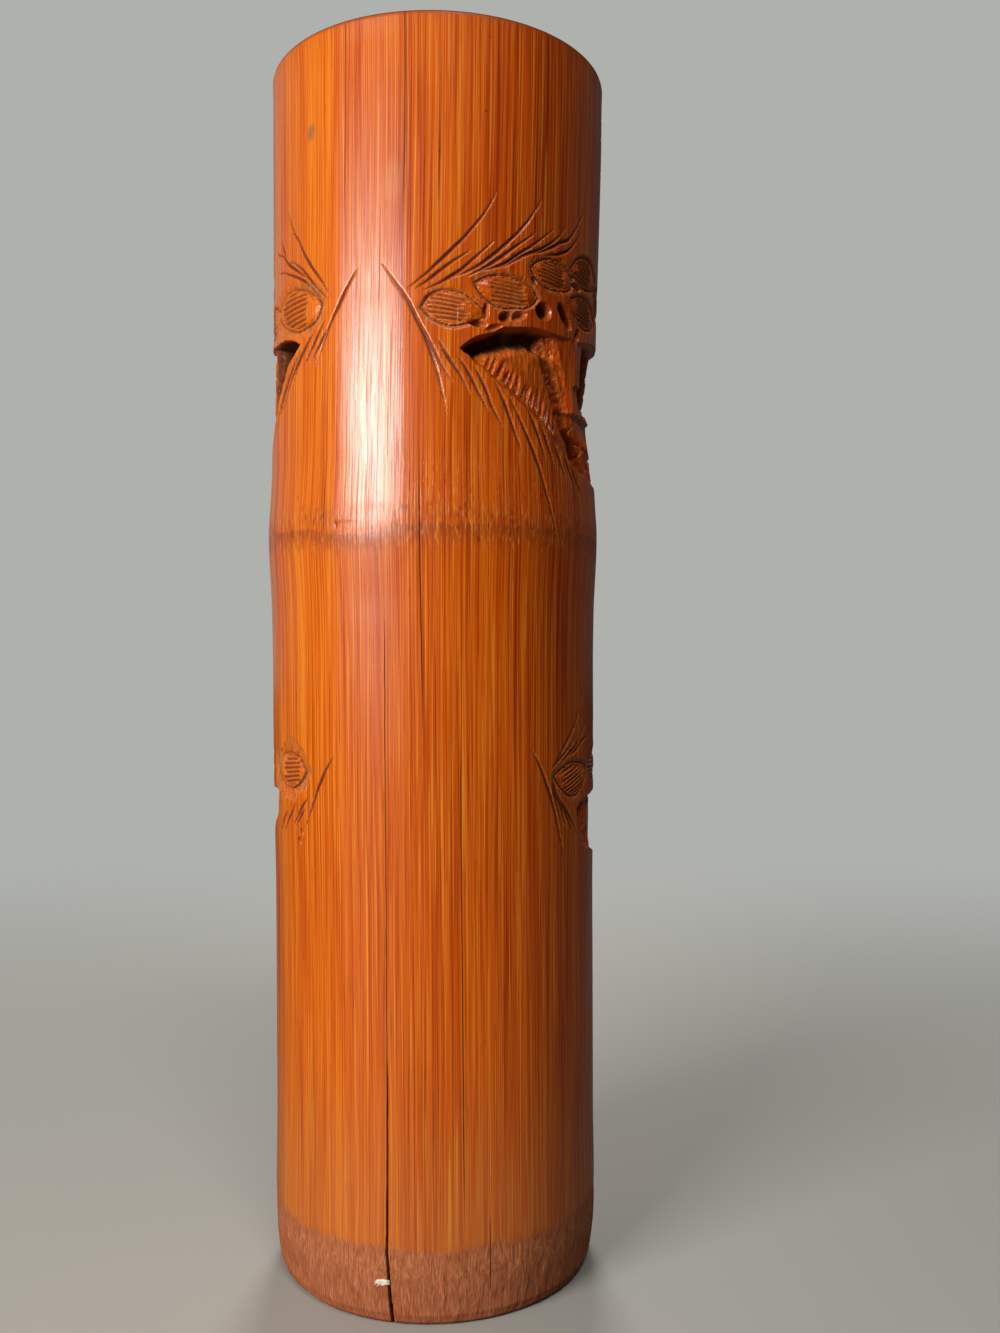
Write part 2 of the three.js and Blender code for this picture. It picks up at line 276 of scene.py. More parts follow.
# The trunk that the back shows, between its outline and the skin: at each share of the height,
# the degrees of its left foot, of the edge between its pitted and its smooth face, of the
# smooth face's right edge, and of its right side
nearTrunk = {
    "outline": [
        (39, .6), (43, .553), (41.5, .515), (44, .47), (47, .42), (49.5, .37), (51.5, .31),
        (54, .275), (59, .25), (62.5, .2), (66, .14), (80, .1), (92, .12), (95, .2), (91, .29),
        (82, .33), (73, .345), (64, .355), (64, .45), (65, .53), (68, .6), (54, .63)],
    "faces": [
        (.1, 70, 75, 80, 95), (.15, 65, 69, 75, 92), (.22, 60, 63, 68, 82),
        (.28, 53.5, 56.5, 60, 70), (.325, 51.4, 54.9, 57.2, 65), (.36, 50, 54.6, 57.2, 64),
        (.4, 48, 53.5, 57.4, 64), (.44, 46, 52, 58, 64), (.49, 43.5, 50.3, 58.8, 64),
        (.53, 41.5, 48, 57.8, 64.5), (.57, 41, 46.5, 55, 65), (.62, 40, 46, 53, 66)],
    "depths": (4.4, .9, .05, .9),           # mm below the skin at those four
    "steps": [(.418, 57, .7), (.325, 51, .9)],   # share, from degrees, mm deeper below it
    "pitSize": (1.25, 1.7),
    "pitDepth": .5,
}

# [how far below the skin it ends, how much its edge drops, over what width, all mm]
reliefShapes = {
    "trunk": (.7, 2.6, 4.2),
    "branch": (2.3, 1.3, 1.7),
    "rock": (1.6, 1.6, 2.2),
    "boulder": (.9, 1, 1.8),
    "roof": (2, .7, 1.2),
    "post": (3.2, .4, .5),
}

upperCarving = {
    "scene": upperScene,
    "edge": [
        (11, .475), (14, .503), (20, .53), (28, .557), (36, .562), (45, .556), (56, .562),
        (66, .568), (76, .585), (88, .6), (102, .605), (118, .598), (134, .61), (150, .604),
        (165, .618), (180, .61), (197, .62), (214, .605), (230, .61), (247, .6), (262, .6),
        (277, .582), (290, .57), (300, .565), (307, .552), (312, .53)],
    "lip": [
        (312, .53), (305.5, .487), (300.5, .43), (296, .37), (291, .307), (285, .245),
        (277, .18), (267, .135), (254, .1), (238, .08), (220, .062), (200, .05), (180, .045),
        (160, .05), (140, .06), (120, .07), (100, .09), (85, .11), (72, .13), (62, .14),
        (56, .16), (50, .195), (46, .225), (42, .26), (36, .297), (28, .35), (20, .405),
        (14, .455), (11, .475)],
    "reliefs": [
        ("trunk", [
            (92, .66), (95, .58), (99, .5), (103, .42), (104, .34), (101, .26), (98, .18),
            (97, .1), (100, .03), (122, .02), (120, .1), (116, .17), (114, .25), (115, .33),
            (114, .41), (111, .49), (113, .56), (119, .66)]),
        ("trunk", [
            (222, .66), (229, .58), (234, .5), (233, .42), (230, .34), (232, .26), (229, .18),
            (224, .1), (222, .03), (246, .03), (250, .1), (246, .17), (243, .25), (242, .33),
            (244, .41), (249, .49), (255, .56), (258, .66)]),
        ("trunk", [
            (266, .66), (271, .56), (274, .48), (273, .4), (268, .32), (261, .24), (256, .16),
            (262, .06), (278, .1), (286, .2), (292, .33), (290, .4), (288, .48), (289, .54),
            (292, .62)]),
        ("branch", [
            (110, .46), (120, .475), (130, .51), (139, .505), (148, .525), (154, .515),
            (148, .5), (139, .478), (130, .482), (120, .448), (110, .425)]),
        ("branch", [
            (235, .47), (226, .5), (217, .485), (209, .51), (202, .505), (209, .485),
            (217, .455), (226, .465), (235, .435)]),
        ("rock", [
            (124, -.02), (126, .1), (131, .15), (138, .14), (142, .2), (150, .19), (154, .12),
            (161, .1), (164, -.02)]),
        ("rock", [(160, -.02), (164, .15), (167, .19), (195, .19), (199, .15), (202, -.02)]),
        ("rock", [
            (198, -.02), (200, .1), (206, .16), (213, .15), (217, .22), (225, .2), (228, .12),
            (231, -.02)]),
        *[("post", [(side, .17), (side + 2, .17), (side + 2, .37), (side, .37)])
          for side in (170, 180, 190)],
        ("roof", [
            (161, .345), (166, .36), (171, .39), (175, .435), (181, .465), (187, .435),
            (191, .39), (196, .36), (201, .345), (195, .33), (167, .33)]),
    ],
    # leaf pads seen from the back, as outlines
    "drawnPads": [
        [(-1.2, .6), (.5, .628), (4, .645), (9, .648), (13, .635), (16.5, .611), (18.3, .592),
         (17, .57), (13.5, .554), (8, .545), (4.2, .555), (1, .575)],
        [(15.6, .677), (18.5, .695), (23, .708), (28.5, .707), (33, .698), (36.5, .68),
         (37.9, .66), (36, .636), (31, .619), (26, .612), (21.5, .621), (17.8, .647)],
        [(35.4, .75), (38, .772), (43, .788), (49, .786), (53.6, .765), (54.6, .735),
         (52, .713), (46, .702), (40.5, .705), (37, .725)],
        [(54.5, .69), (58, .705), (63, .712), (69, .708), (74, .685), (75.5, .66), (72, .635),
         (66, .62), (61, .624), (57, .645), (54.2, .668)],
        [(54.3, .79), (58, .825), (64, .845), (71, .84), (76, .81), (76, .785), (71, .76),
         (64, .75), (58, .76)],
        [(-37.3, .64), (-41, .675), (-45, .695), (-50, .71), (-56, .713), (-61, .695),
         (-65.5, .662), (-62, .628), (-57, .6), (-52, .583), (-47, .58), (-42, .59),
         (-39, .61)],
    ],
    "banks": {5: 1.9},    # how wide the scraped bank round some of them is
    # where the hatching of the drawn ones starts and ends, and how it tilts
    "hatched": [(-.92, .3, -.13), (-.5, .42, -.05), (-.62, .5, -.09), (-.6, .35, -.12),
                (-.7, .2, -.2), (-.6, .4, .05)],
    # the rest: degrees, share and, where it is smaller, the share of the full size
    "pads": [
        (84, .745), (103, .7), (122.5, .79), (141.5, .705), (161, .8), (180, .71), (199.5, .8),
        (218.5, .705), (238, .79), (257, .7), (275, .775), (286, .655, .94), (103, .85),
        (141.5, .885), (180, .89), (218.5, .885), (257, .86)],
    "fansFrom": .78,      # pads above this share of the height carry a fan of needles
    "firstPad": 0,        # the number that its first pad's random draws start from
    "lipNeedles": (98, 268, 6.5),    # first and last degree and spacing
    "needles": [
        [(-6, .652), (0, .7), (5, .745), (10, .795), (15, .85), (19, .905), (22, .96)],
        [(-3.5, .652), (2, .69), (8, .735), (14, .775)],
        [(-1, .648), (5, .675), (11, .715), (16, .76), (21.5, .81)],
        [(8, .687), (15, .72), (21, .765), (27, .82), (33, .885), (38.5, .965)],
        [(13, .695), (20, .735), (28, .795), (36.5, .86)],
        [(16, .71), (24, .74), (30, .78), (37, .83), (44, .885)],
        [(24, .73), (32, .78), (40, .82), (46, .865), (50, .905)],
        [(33, .785), (40, .81), (47, .85), (52, .875), (56, .92), (60, .975), (62, 1)],
        [(40, .795), (48, .82), (53, .85), (60, .92)],
        [(-14.3, .735), (-10, .675), (-6, .62), (-2, .545), (1, .48), (3.5, .41), (5.5, .34),
         (7, .275)],
        [(-4.5, .6), (-1, .53), (2, .48), (5, .425), (8.8, .37)],
        [(3.5, .505), (7, .45), (11, .395), (14.5, .335)],
        [(10, .455), (14, .4), (17, .345), (20.5, .29)],
        [(15.5, .425), (19, .365), (22, .3), (25.5, .245)],
        [(22.5, .385), (26, .32), (29, .25), (32.5, .17)],
        [(27.5, .345), (31, .285), (35, .215), (39, .14), (42, .06), (44, 0), (46, -.06),
         (47.6, -.12)],
        [(34.5, .31), (38, .25), (42.5, .155)],
        [(40, .265), (43.5, .2), (47, .135)],
        [(46, .22), (50, .15), (52.5, .105)],
        [(51, .19), (55.5, .125), (59.5, .075)],
        [(55, .16), (60, .1), (64, .06)],
        [(-33, .655), (-37, .71), (-41, .755), (-45, .8), (-49, .86), (-53, .91), (-57, .98),
         (-58.5, 1)],
        [(-34, .65), (-40, .7), (-46, .76), (-52, .8), (-57, .81)],
        [(-36, .65), (-42, .7), (-48, .74), (-54, .765), (-60, .79), (-66, .8)],
        [(-44, .735), (-50, .77), (-56, .805), (-61, .845), (-65, .86), (-68, .88)],
        [(-58, .83), (-61, .875), (-63, .91)],
        [(-22.8, .73), (-26, .68), (-30, .615), (-33, .57), (-36, .51), (-39.3, .445)],
        [(-34.5, .555), (-38, .51), (-42, .465)],
        [(-35.5, .585), (-39, .54), (-44, .475), (-46.5, .455)],
        [(-40.5, .56), (-44, .525), (-49, .465), (-52.5, .41)],
        [(-42, .55), (-48, .49), (-54, .42), (-58, .36), (-61, .33)],
        [(-47.5, .515), (-52, .47), (-56.5, .41), (-62, .33), (-64, .29)],
        [(-53, .47), (-58, .405), (-63, .34), (-68, .27), (-70.5, .24)],
    ],
    # scoops: [degrees, share, half length, half width, turn in degrees, depth]
    "pits": [
        (16.4, .556, 2.5, 1.15, -12, 2), (19, .594, 2, .85, 80, 1.8),
        (26, .585, 2, 1.25, 18, 2), (30.8, .593, 2.2, 1.2, 22, 1.6),
        (22, .546, 2.2, .85, 14, 1), (40.6, .622, 2.5, 2.2, 0, 3.2),
        (50.8, .625, 3.9, 1.7, -47, 3.2), (58.4, .578, 2.1, 1.2, 70, 2),
        (57.6, .737, 2.2, .9, -10, 1.8), (36.2, .712, 1.1, .7, -60, 1.1),
        (55.2, .76, 1.5, .6, 70, 1.4)],
}

lowerCarving = {
    "scene": lowerScene,
    "edge": [
        (60.3, .52), (63, .545), (68, .562), (76, .57), (88, .585), (102, .59), (118, .582),
        (134, .592), (150, .585), (168, .595), (186, .587), (204, .595), (222, .585),
        (240, .59), (256, .582), (270, .592), (284, .6), (293, .598), (299.5, .575)],
    "lip": [
        (299.5, .575), (295, .53), (291, .485), (284, .43), (276, .37), (266, .31), (253, .26),
        (238, .22), (220, .19), (200, .175), (180, .17), (160, .175), (140, .19), (120, .21),
        (103, .25), (90, .3), (78, .33), (70, .345), (65, .385), (62.5, .42), (61, .47),
        (60.3, .52)],
    "reliefs": [
        ("trunk", [
            (86, .66), (91, .58), (96, .5), (98, .42), (95, .34), (91, .27), (90, .18),
            (114, .16), (112, .24), (108, .31), (110, .39), (110, .47), (107, .54),
            (111, .64)]),
        ("trunk", [
            (230, .65), (236, .57), (241, .49), (240, .41), (237, .33), (238, .25), (235, .16),
            (262, .2), (259, .28), (255, .36), (255, .44), (259, .51), (264, .57),
            (268, .65)]),
        ("branch", [
            (106, .49), (116, .5), (126, .53), (136, .52), (143, .535), (136, .493),
            (126, .5), (116, .468), (106, .455)]),
        ("boulder", [
            (64.5, .33), (65, .44), (67, .53), (76, .585), (85, .56), (91, .45), (94, .35),
            (97, .2)]),
        ("rock", [
            (124, .1), (127, .24), (133, .29), (141, .27), (145, .34), (153, .32),
            (157, .24), (162, .1)]),
        ("rock", [
            (196, .1), (199, .22), (206, .27), (212, .34), (220, .33), (224, .26), (229, .1)]),
        ("boulder", [
            (262, .24), (266, .38), (270, .5), (277, .59), (286, .6), (293, .53), (289, .43),
            (276, .32)]),
        ("post", [
            (163, .335), (168, .29), (186, .285), (193, .335), (186, .318), (168, .318)]),
        ("post", [(171, .31), (172.5, .36), (178, .385), (183.5, .36), (185, .31)]),
    ],
    "drawnPads": [
        [(47.5, .665), (51, .69), (55, .705), (59, .712), (64, .705), (69, .68), (69, .65),
         (65, .605), (58, .58), (53, .6), (49.5, .635)],
        [(-45.5, .685), (-48, .72), (-52, .75), (-57, .757), (-62, .735), (-66, .69),
         (-64, .65), (-59, .622), (-53, .618), (-48.5, .65)],
    ],
    "banks": {0: 1.3, 1: 2.6},
    "hatched": [(-.6, .5, .32), (-.35, .6, .1)],
    "pads": [
        (82, .69), (106, .705), (130, .7), (154, .705), (178, .71), (202, .71), (226, .705),
        (250, .705), (274, .71), (94, .825), (142, .835), (190, .84), (238, .835)],
    "fansFrom": .8,
    "firstPad": 40,
    "lipNeedles": (96, 270, 6.5),
    "needles": [
        [(-31.3, .757), (-35, .7), (-38, .64), (-41, .57), (-44, .505), (-46.5, .45)],
        [(-44.5, .58), (-47.5, .545), (-50.5, .5), (-53.3, .465)],
        [(-46, .54), (-50, .485), (-52, .46)],
        [(-51.5, .56), (-54.5, .515), (-57, .48), (-60, .435)],
        [(-57.5, .52), (-60.5, .485), (-63.5, .44), (-66.3, .4)],
        [(36.3, .78), (39, .73), (42, .665), (45, .59), (47.5, .51), (49.7, .43), (51.5, .36),
         (52.4, .3)],
        [(45.5, .7), (50, .755), (55, .815), (60, .885), (64, .965), (66, 1.02)],
        [(46, .7), (51, .745), (55, .775), (58.5, .805)],
        [(47.5, .7), (54, .745), (60, .785), (66, .845), (70, .87)],
        [(55, .74), (60, .765), (65, .8), (72, .815)],
        [(45.7, .67), (46.3, .62), (48.5, .545), (51.3, .465)],
        [(46, .67), (48, .6), (51, .52), (54, .435)],
        [(47.5, .62), (51, .55), (55, .48), (59, .405)],
        [(50, .575), (54, .52), (58, .465), (61.3, .41)],
    ],
    "pits": [(-46.7, .44, .45, .4, 0, .5), (-48, .405, .4, .35, 0, .4)],
}

depth = np.zeros(gridDegrees.shape)     # how far below the skin, mm
carved = np.zeros(gridDegrees.shape)    # 1 where the recess is deep
raw = np.zeros(gridDegrees.shape)       # 1 in the rough pale cuts round the pads
mark = np.zeros(gridDegrees.shape)      # how dark a knife line is, from 0 to 1
paintedShadeMask = np.zeros(gridDegrees.shape)    # 1 where shade is painted: deep corners, pit sides away from the light and the left end of the upper recess
wobbleAlong = carving["wobble"] * (ripple(gridDegrees, gridHeights, 2.6, 3.4, 11)
                                   + .5 * ripple(gridDegrees, gridHeights, .9, 1.3, 12))
wobbleUp = carving["wobble"] * (ripple(gridDegrees, gridHeights, 3, 2.6, 13)
                                + .5 * ripple(gridDegrees, gridHeights, 1.1, .8, 14))
toolMarks = carving["toolMarks"] * (ripple(gridDegrees, gridHeights, 2.4, 3.6, 15)
                                    + .5 * ripple(gridDegrees, gridHeights, .9, 1.4, 16))


def cut(part, amount):
    depth[part] = np.maximum(depth[part], amount)


def strike(scene, points):
    # one stroke of the V tool, thin at both ends
    width, deep, heavy = [carving[name] for name in ("needleWidth", "needleDepth", "heaviest")]
    line = curved(flat(scene, points))
    part, along, height = window(line, width)
    if along.size == 0:
        return
    distance, share = lineDistance(along + wobbleAlong[part] * .25,
                                   height + wobbleUp[part] * .25, line)
    swell = np.clip(np.minimum(share / heavy, (1 - share) / (1 - heavy)), 0, 1) ** .55
    half = width / 2 * (.25 + .75 * swell)
    groove = (.15 + .85 * swell) * np.clip(1 - distance / half, 0, 1) * (swell > .02)
    cut(part, deep * groove)
    mark[part] = np.maximum(mark[part], groove)


def digField(scene):
    points = flat(scene["scene"], scene["edge"] + scene["lip"][1:-1])
    part, along, height = window(points, 2)
    along, height = along + wobbleAlong[part], height + wobbleUp[part]
    inside = insideOf(along, height, points)
    fromEdge, _ = lineDistance(along, height, flat(scene["scene"], scene["edge"]))
    fromLip, _ = lineDistance(along, height, flat(scene["scene"], scene["lip"]))
    wall = smoothStep(fromEdge, -.1, carving["edgeWall"])
    bank = (carving["bankShare"] * np.clip(fromLip / carving["bank"], 0, 1) ** .8
            + (1 - carving["bankShare"]) * smoothStep(fromLip, .8, carving["bankRun"]))
    floor = carving["fieldDepth"] * bank
    # seen ends of the recess: a swelling floor
    degrees = gridDegrees[part]
    right, left = carving["seenEnds"]
    seen = np.maximum(1 - smoothStep(degrees, *right), .3 * smoothStep(degrees, *left))
    swell = carving["swell"]
    toEdge = fromEdge
    if scene is upperCarving:
        shares, foot, *_ = np.array(nearTrunk["faces"]).T
        trunkFoot = np.interp(height, scene["scene"]["foot"] + shares * scene["scene"]["height"],
                              np.radians(foot) * culm["skinRadius"])
        toEdge = np.minimum(fromEdge, np.abs(along - trunkFoot) * 2.4 + 20 * (degrees > 90))
    hill = (swell["lip"] * smoothStep(fromLip, -.1, .9)
            + swell["middle"] * np.clip(fromLip / 8, 0, 1)
            + swell["gap"] * (1 - smoothStep(toEdge, *swell["gapWidth"])))
    floor = np.minimum(floor + (hill - floor) * seen, carving["fieldDepth"] * wall)
    floor -= np.abs(toolMarks[part]) * smoothStep(floor, .5, 3)
    floor = np.where(inside, floor, 0)
    for kind, shares in scene["reliefs"]:
        floor = stand(scene["scene"], kind, shares, part, along, height, floor)
    # the trunk's faces take less of the recess's rough, darker finish and of the painted shade, so
    # they are painted lighter, as if lit
    recessFinishShare = np.ones(floor.shape)
    if scene is upperCarving:
        floor, trunk = standNearTrunk(scene["scene"], part, along, height, floor)
        recessFinishShare -= .75 * trunk
    cut(part, floor)
    carved[part] = np.maximum(carved[part], smoothStep(floor, .6, 4.2) * recessFinishShare)
    # painted shade: darker the deeper the floor lies, little on the trunk's faces
    paintedShadeMask[part] = smoothStep(floor, 2.2, 4.8) * np.clip(1.8 * recessFinishShare - .8, 0, 1)
    if scene is upperCarving:
        # painted shade over the end of the recess on the left, which the light doesn't reach
        turns, heights = carving["paintedShadeEnd"]
        dim = smoothStep(degrees, *turns) * smoothStep(floor, .3, 1) * (
            .5 + .5 * smoothStep(gridHeights[part], *heights))
        paintedShadeMask[part] = np.maximum(paintedShadeMask[part], dim)


def standNearTrunk(scene, part, along, height, floor):
    far = outlineDistance(along, height, flat(scene, nearTrunk["outline"]))
    shares, *edges = np.array(nearTrunk["faces"]).T
    levels = scene["foot"] + shares * scene["height"]
    a, b, c, d = [np.interp(height, levels, np.radians(edge) * culm["skinRadius"])
                  for edge in edges]
    foot, fold, crest, side = nearTrunk["depths"]
    top = np.where(along < b, fold + (foot - fold) * (b - along) / (b - a),
                   np.where(along < c, crest + (fold - crest) * (c - along) / (c - b),
                            crest + (side - crest) * np.clip((along - c) / (d - c), 0, 1.5)))
    near, _, _ = cells(gridDegrees[part], gridHeights[part], *nearTrunk["pitSize"], 24)
    top += nearTrunk["pitDepth"] * (1 - smoothStep(near, 0, .6)) * smoothStep(b - along, .1, .6)
    for share, degrees, drop in nearTrunk["steps"]:
        level = scene["foot"] + share * scene["height"]
        start = math.radians(degrees) * culm["skinRadius"]
        top += drop * smoothStep(level - height, -.12, .2) * smoothStep(
            along, start - .3, start + .3) * (1 - .85 * smoothStep(level - height, .5, 6.5))
    lower = smoothStep(scene["foot"] + .3 * scene["height"] - height, 0, 3)
    bark, second, scale = cells(gridDegrees[part], gridHeights[part], 4.6, 5.4, 25)
    top += lower * (.7 * (1 - smoothStep(second - bark, .03, .2)) + .8 * scale)
    top += np.clip(.4 - far, 0, 3) * 7
    return np.where(floor > top, top, floor), (floor > top) * (1 - .5 * lower)


def stand(scene, kind, shares, part, along, height, floor):
    # one relief left standing in a dug field
    points = flat(scene, shares)
    sink, drop, width = reliefShapes[kind]
    far = outlineDistance(along, height, points)
    rounding = np.sqrt(np.clip(1 - (1 - np.clip(far / width, 0, 1)) ** 2, 0, 1))
    top = sink + drop * (1 - rounding) + np.clip(-far, 0, 2) * 7
    local = gridDegrees[part]
    tall = gridHeights[part]
    if kind == "trunk":
        near, second, scale = cells(local, tall, 3.1, 4.3, 21)
        top += .55 * (1 - smoothStep(second - near, .04, .3)) + .3 * scale
    elif kind == "branch":
        top += .2 * np.abs(toolMarks[part])
    elif kind in ("rock", "boulder"):
        near, _, facet = cells(local, tall, 5.2, 6.5, 22)
        top += (1.5 * facet + .5 * near) * (1 if kind == "rock" else .4)
    elif kind == "roof":
        rib = np.abs((along / 1.5) % 1 - .5) * 2
        top += .35 * smoothStep(rib, .2, .9) * (far > .5)
    return np.where(floor > top, top, floor)


def hatchAt(along, height, far, points, order, hatched):
    # how deep the hatching is: parallel lines that stop unevenly at both ends
    centre = (points.min(axis=0) + points.max(axis=0)) / 2
    half = (points.max(axis=0) - points.min(axis=0)) / 2
    random = np.random.default_rng(300 + order)
    low, high, tilt = hatched or (*carving["hatchShare"], random.uniform(-.07, .02))
    u = (along - centre[0]) / half[0]
    v = (height - centre[1]) * (1 + .1 * u) - tilt * (along - centre[0])
    pitch = carving["hatchPitch"] * half[1] / (carving["padHeight"] / 2)
    ends = random.uniform(-.12, .12, (2, 64))
    index = (np.floor(v / pitch) + 32).astype(int) % 64
    starts, stops = low + ends[0, index], high + ends[1, index]
    drawn = (smoothStep(u, starts - .06, starts + .06)
             * (1 - smoothStep(u, stops - .05, stops + .2)))
    groove = 1.2 * (1 - np.abs((v / pitch % 1) - .42) / .42)
    return carving["hatchDepth"] * np.clip(groove, 0, 1) * drawn * smoothStep(far, .25, .8)


def standPad(points, order, hatched=None, bank=1):
    # one leaf pad: domed, with a ditch round it and hatching over one end
    part, along, height = window(points, carving["ditchWidth"] * 1.35 * bank + 1)
    if along.size == 0:
        return
    steadyAlong, steadyHeight = along, height
    along = along + wobbleAlong[part] * .6
    height = height + wobbleUp[part] * .6
    far = outlineDistance(along, height, points)
    hatch = hatchAt(steadyAlong, steadyHeight, far, points, order, hatched)
    dome = carving["padDome"] * (1 - smoothStep(far, -.2, 2.6)) ** 1.5
    width = bank * carving["ditchWidth"] * (1 + .35 * ripple(gridDegrees[part], gridHeights[part],
                                                      3.5, 2.5, 31))
    out = np.clip(-far / width, 0, 1)
    side = .75 + .25 * ripple(gridDegrees[part], gridHeights[part], 6, 5, 32)
    # a narrow cut under the pad's edge, and a scratched bank beyond it
    ditch = carving["ditchDepth"] * side * (.72 * np.clip(1 + far / .55, 0, 1)
                                            + .28 * bank * (1 - out)) * smoothStep(-far, -.12, .1)
    scratch = np.abs(ripple(gridDegrees[part], gridHeights[part], .7, .55, 33))
    ditch += .3 * scratch * (out > 0) * (1 - out)
    inside = far > .1
    was = depth[part]
    standing = (was > 2.5) & inside
    depth[part] = np.where(standing, was, np.where(inside, dome + hatch,
                                                   np.maximum(was, ditch * (far < .1))))
    carved[part] = np.where(inside & ~standing, .25 * hatch / carving["hatchDepth"], carved[part])
    scratched = .15 + .75 * smoothStep(side, .66, .86)
    raw[part] = np.maximum(raw[part], scratched * smoothStep(-far, -.15, .1) * (
        1 - smoothStep(out, .7, 1)))
    raw[part] = np.where(inside, 0, raw[part])
    edgeLine = np.clip(1 - np.abs(far + .12) / .34, 0, 1) * (.2 + .6 * side)
    mark[part] = np.where(inside & ~standing, .5 * hatch / carving["hatchDepth"],
                          mark[part] * (1 - smoothStep(-far, -.1, .1) * (out < .7)))
    mark[part] = np.maximum(mark[part], edgeLine)


def ovalPad(scene, degrees, share, size=1):
    centre = flat(scene, [(degrees, share)])[0]
    turn = np.linspace(0, math.tau, 20, endpoint=False)
    long = carving["padLength"] / 2 * size * np.cos(turn)
    tall = carving["padHeight"] / 2 * size * np.sin(turn) * (1 - .12 * np.abs(np.cos(turn)))
    return centre + np.column_stack([long, tall])


def sinkPit(scene, degrees, share, halfLong, halfWide, turn, deep):
    centre = flat(scene, [(degrees, share)])
    part, along, height = window(centre, halfLong + 1)
    x = along + wobbleAlong[part] * .6 - centre[0, 0]
    y = height + wobbleUp[part] * .6 - centre[0, 1]
    cosTurn, sinTurn = math.cos(math.radians(turn)), math.sin(math.radians(turn))
    far = np.hypot((x * cosTurn + y * sinTurn) / halfLong, (y * cosTurn - x * sinTurn) / halfWide)
    bowl = deep * np.clip(1 - far ** 3.5, 0, 1)
    cut(part, bowl)
    carved[part] = np.maximum(carved[part], smoothStep(bowl, .2, 1.6))
    # painted shade in the pit, heaviest on its upper left side, away from the light
    paintedShadeMask[part] = np.maximum(paintedShadeMask[part], smoothStep(bowl - .5 * (x - y) / halfLong, .7, 2.6))


def hiddenNeedles(scene, pads):
    # fans of needles over the top row of pads, on the side that the photograph doesn't show
    strokes = []
    for order, (degrees, share, *_) in enumerate(pads):
        if degrees < 88 or degrees > 272:
            continue
        random = np.random.default_rng(500 + order)
        rise = 17 / scene["height"]
        top = share + 4.4 / scene["height"]
        for step in np.linspace(-1, 1, 7):
            reach = random.uniform(.75, 1.1)
            start = (degrees + 6 * step, top - .012 * abs(step))
            middle = (degrees + (6 + 5 * reach) * step, top + rise * .5 * reach)
            end = (degrees + (6 + 13 * reach) * step, top + rise * (.75 + .3 * reach)
                   * (1.15 - .45 * abs(step)))
            strokes.append([start, middle, end])
    return strokes


def lipNeedles(scene, lip, first, last, step):
    # short needles that hang below the lip on the hidden side
    strokes = []
    degrees, shares = zip(*sorted(lip))
    for order, start in enumerate(np.arange(first, last, step)):
        random = np.random.default_rng(700 + order)
        top = np.interp(start, degrees, shares) - .012
        lean = random.uniform(-1, 1)
        drop = random.uniform(6, 12) / scene["height"]
        strokes.append([(start, top), (start + 1.5 * lean, top - drop * .5),
                        (start + 4 * lean, top - drop)])
    return strokes


def slash(scene, points, force):
    line = flat(scene, points)
    part, along, height = window(line, 1.2)
    distance, share = lineDistance(along, height, line)
    swell = np.clip(np.minimum(share / .3, (1 - share) / .5), 0, 1)
    depth[part] += carving["slashDepth"] * force * swell * np.clip(
        1 - distance / .62, 0, 1) * (depth[part] > .5)


def gougeBank(scene):
    # strokes across the lower bank of the upper recess, at the end that the back shows
    gouges = carving["gouges"]
    random = np.random.default_rng(90)
    for start in np.arange(*gouges["degrees"]):
        start += random.uniform(-.35, .35)
        share = np.interp(start, *gouges["start"])
        lean = np.interp(start, *gouges["lean"]) * random.uniform(.75, 1.2)
        rise = np.interp(start, *gouges["rise"]) * random.uniform(.75, 1.25)
        points = [(start, share + random.uniform(0, .008)),
                  (start + lean * .4, share + rise * .5), (start + lean, share + rise)]
        slash(scene, points, random.uniform(.75, 1.2))


def carve(table):
    scene = table["scene"]
    digField(table)
    if table is upperCarving:
        gougeBank(scene)
    for pit in table["pits"]:
        sinkPit(scene, *pit)
    drawn = [flat(scene, points) for points in table["drawnPads"]]
    outlines = [curved(np.vstack([points, points[:1]]), 3)[:-1] for points in drawn]
    outlines += [ovalPad(scene, *pad) for pad in table["pads"]]
    for order, points in enumerate(outlines):
        hatched = table["hatched"][order] if order < len(drawn) else None
        standPad(points, table["firstPad"] + order, hatched, table["banks"].get(order, 1))
    topRow = [pad for pad in table["pads"] if pad[1] > table["fansFrom"]]
    for points in [*table["needles"], *hiddenNeedles(scene, topRow)]:
        strike(scene, points)


def drawCracks():
    # the drying crack up the back, open at the foot
    for crack in cracks["open"]:
        line = flat({"foot": 0, "height": 1}, [(degrees, height) for degrees, height, _ in crack])
        part, along, height = window(line, 1.2)
        middle = np.interp(height, line[:, 1], line[:, 0])
        middle = middle + .05 * ripple(height * 0, height, 50, 1.7, 41)
        half = np.interp(height, line[:, 1], [width / 2 for _, _, width in crack])
        gap = np.clip(1 - (np.abs(along - middle) - half) / .06, 0, 1)
        cut(part, cracks["depth"] * gap * (half > .02))


